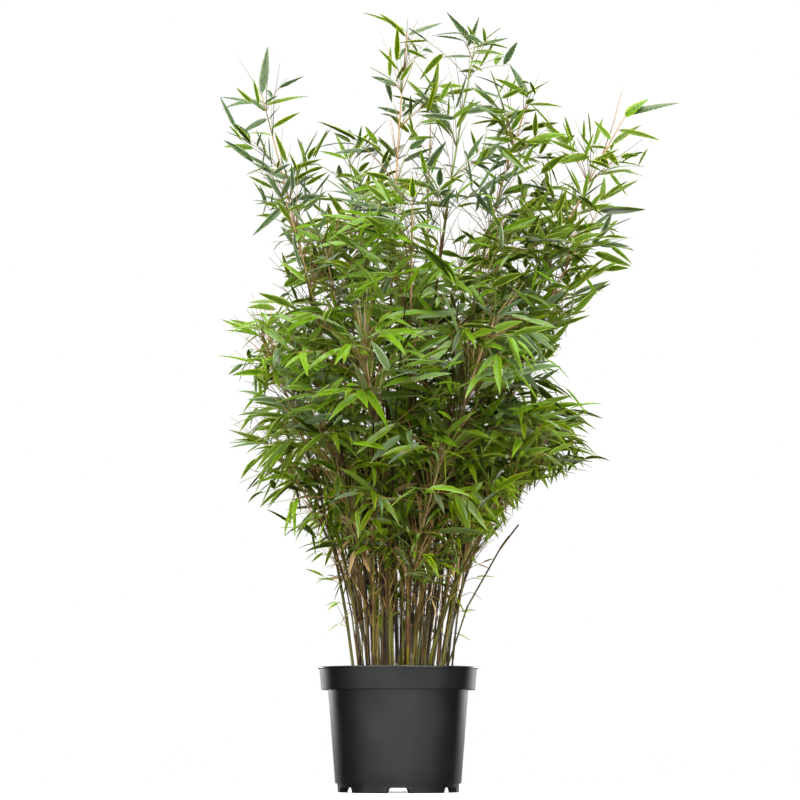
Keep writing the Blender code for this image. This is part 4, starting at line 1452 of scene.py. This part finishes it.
compostPiece = compostFilling()
compostPiece.data.materials.append(peatCompost())
finishPiece(compostPiece, ["compost"])
finishPiece(barkChips(), [])


# The view: where the camera stands from the foot of the pot's axis, how far it looks up in degrees, and its
# lens and sensor in millimetres.
view = {
    "place": (0.0031, -5.0, 0.10),
    "tilt": 6.6633,
    "lens": 128.72,
    "sensor": 36.0,
    "farthest": 100.0,
}


def placeCamera():
    data = bpy.data.cameras.new("camera")
    data.lens = view["lens"]
    data.sensor_width = view["sensor"]
    data.clip_end = view["farthest"]
    camera = bpy.data.objects.new("camera", data)
    camera.location = potAxis + Vector(view["place"])
    camera.rotation_euler = (math.radians(90 + view["tilt"]), 0.0, 0.0)
    bpy.context.scene.collection.objects.link(camera)
    bpy.context.scene.camera = camera


# Soft studio light: azimuth, elevation and height of the aim, distance and size in metres, and power in
# watts.
studio = {
    "softBoxes": (
        ("frontLeft", -30, 34, 0.95, 2.9, (2.5, 2.0), 60),
        ("frontRight", 30, 34, 0.95, 2.9, (2.5, 2.0), 60),
        ("overhead", 0, 64, 0.75, 3.0, (3.0, 3.0), 90),
        ("behind", 180, 50, 0.70, 3.2, (2.2, 1.4), 25),
    ),
    "softSpread": 180,
    # Low strips with a honeycomb, which throw a narrow beam on the pot alone: azimuth and power.
    "strips": (("outerLeft", -52, 0.95), ("innerLeft", -19, 1.10), ("innerRight", 19, 1.10),
               ("outerRight", 52, 0.95), ("backLeft", -148, 0.60), ("backRight", 148, 0.60)),
    "stripAim": 0.11,
    "stripElevation": 3,
    "stripDistance": 2.2,
    "stripSize": (0.60, 0.40),
    "stripSpread": 15,
    # Strength of the surround at the sides and at the top, for soft light and as gloss sees it. It rises from
    # this share of the way up.
    "surroundSoft": (0.95, 1.65),
    "surroundGloss": (0.005, 0.18),
    "surroundRise": 0.2,
}
# A light table: its own glow keeps the ground pale under the pot.
ground = {"radius": 0.8, "sides": 96, "colour": "#d8d8d8", "roughness": 0.9, "glow": 0.45}


def addLamp(name, azimuth, elevation, height, distance, size, power, spread):
    a, e = math.radians(azimuth), math.radians(elevation)
    back = Vector((math.sin(a) * math.cos(e), -math.cos(a) * math.cos(e), math.sin(e)))
    data = bpy.data.lights.new(name, "AREA")
    data.shape = "RECTANGLE"
    data.size, data.size_y = size
    data.energy = power
    data.spread = math.radians(spread)
    lamp = bpy.data.objects.new(name, data)
    lamp.location = potAxis + up * height + back * distance
    lamp.rotation_euler = back.to_track_quat("Z", "Y").to_euler()
    bpy.context.scene.collection.objects.link(lamp)


def lightStudio():
    for softBox in studio["softBoxes"]:
        addLamp(*softBox, studio["softSpread"])
    for name, azimuth, power in studio["strips"]:
        addLamp(name, azimuth, studio["stripElevation"], studio["stripAim"], studio["stripDistance"],
                studio["stripSize"], power, studio["stripSpread"])


def surroundWithWhite():
    # The surround lights the plant softly from all sides. Gloss sees it dim, and the camera sees it as plain
    # white.
    world = bpy.data.worlds.new("studio")
    bpy.context.scene.world = world
    world.use_nodes = True
    world.node_tree.nodes.clear()
    direction = addNode(world, "TexCoord").outputs["Generated"]
    rise = addNode(world, "SeparateXYZ", links={0: direction}).outputs["Z"]
    ray = addNode(world, "LightPath")
    surfaces = []
    start = studio["surroundRise"]
    for low, high in (studio["surroundSoft"], studio["surroundGloss"], (1.0, 1.0)):
        strength = addNode(world, "MapRange", {"From Min": start, "To Min": low, "To Max": high},
                           {"Value": rise})
        surface = addNode(world, "Background", {"Color": "#ffffff"}, {"Strength": strength.outputs[0]})
        surfaces.append(surface.outputs[0])
    mixed = surfaces[0]
    for kind, surface in zip(("Is Glossy Ray", "Is Camera Ray"), surfaces[1:]):
        mixed = addNode(world, "MixShader", links={0: ray.outputs[kind], 1: mixed, 2: surface}).outputs[0]
    addNode(world, "OutputWorld", links={"Surface": mixed})
    bpy.context.scene.view_settings.view_transform = "Standard"


def layFloor():
    bpy.ops.object.select_all(action="DESELECT")
    bpy.ops.mesh.primitive_circle_add(vertices=ground["sides"], radius=ground["radius"], fill_type="NGON",
                                      location=(potAxis.x, potAxis.y, 0.0))
    floor = bpy.context.active_object
    floor.name = "floor"
    paleFloor = newMaterial("paleFloor", {"Base Color": ground["colour"], "Roughness": ground["roughness"],
                                          "Emission Color": "#ffffff", "Emission Strength": ground["glow"]})
    floor.data.materials.append(paleFloor)
    floor.visible_glossy = False   # gloss on the pot shows the studio, not the floor
    floor.visible_shadow = False   # the low strips reach under its level


placeCamera()
lightStudio()
surroundWithWhite()
layFloor()
print(f"studio: {len(studio['softBoxes']) + len(studio['strips'])} lamps")
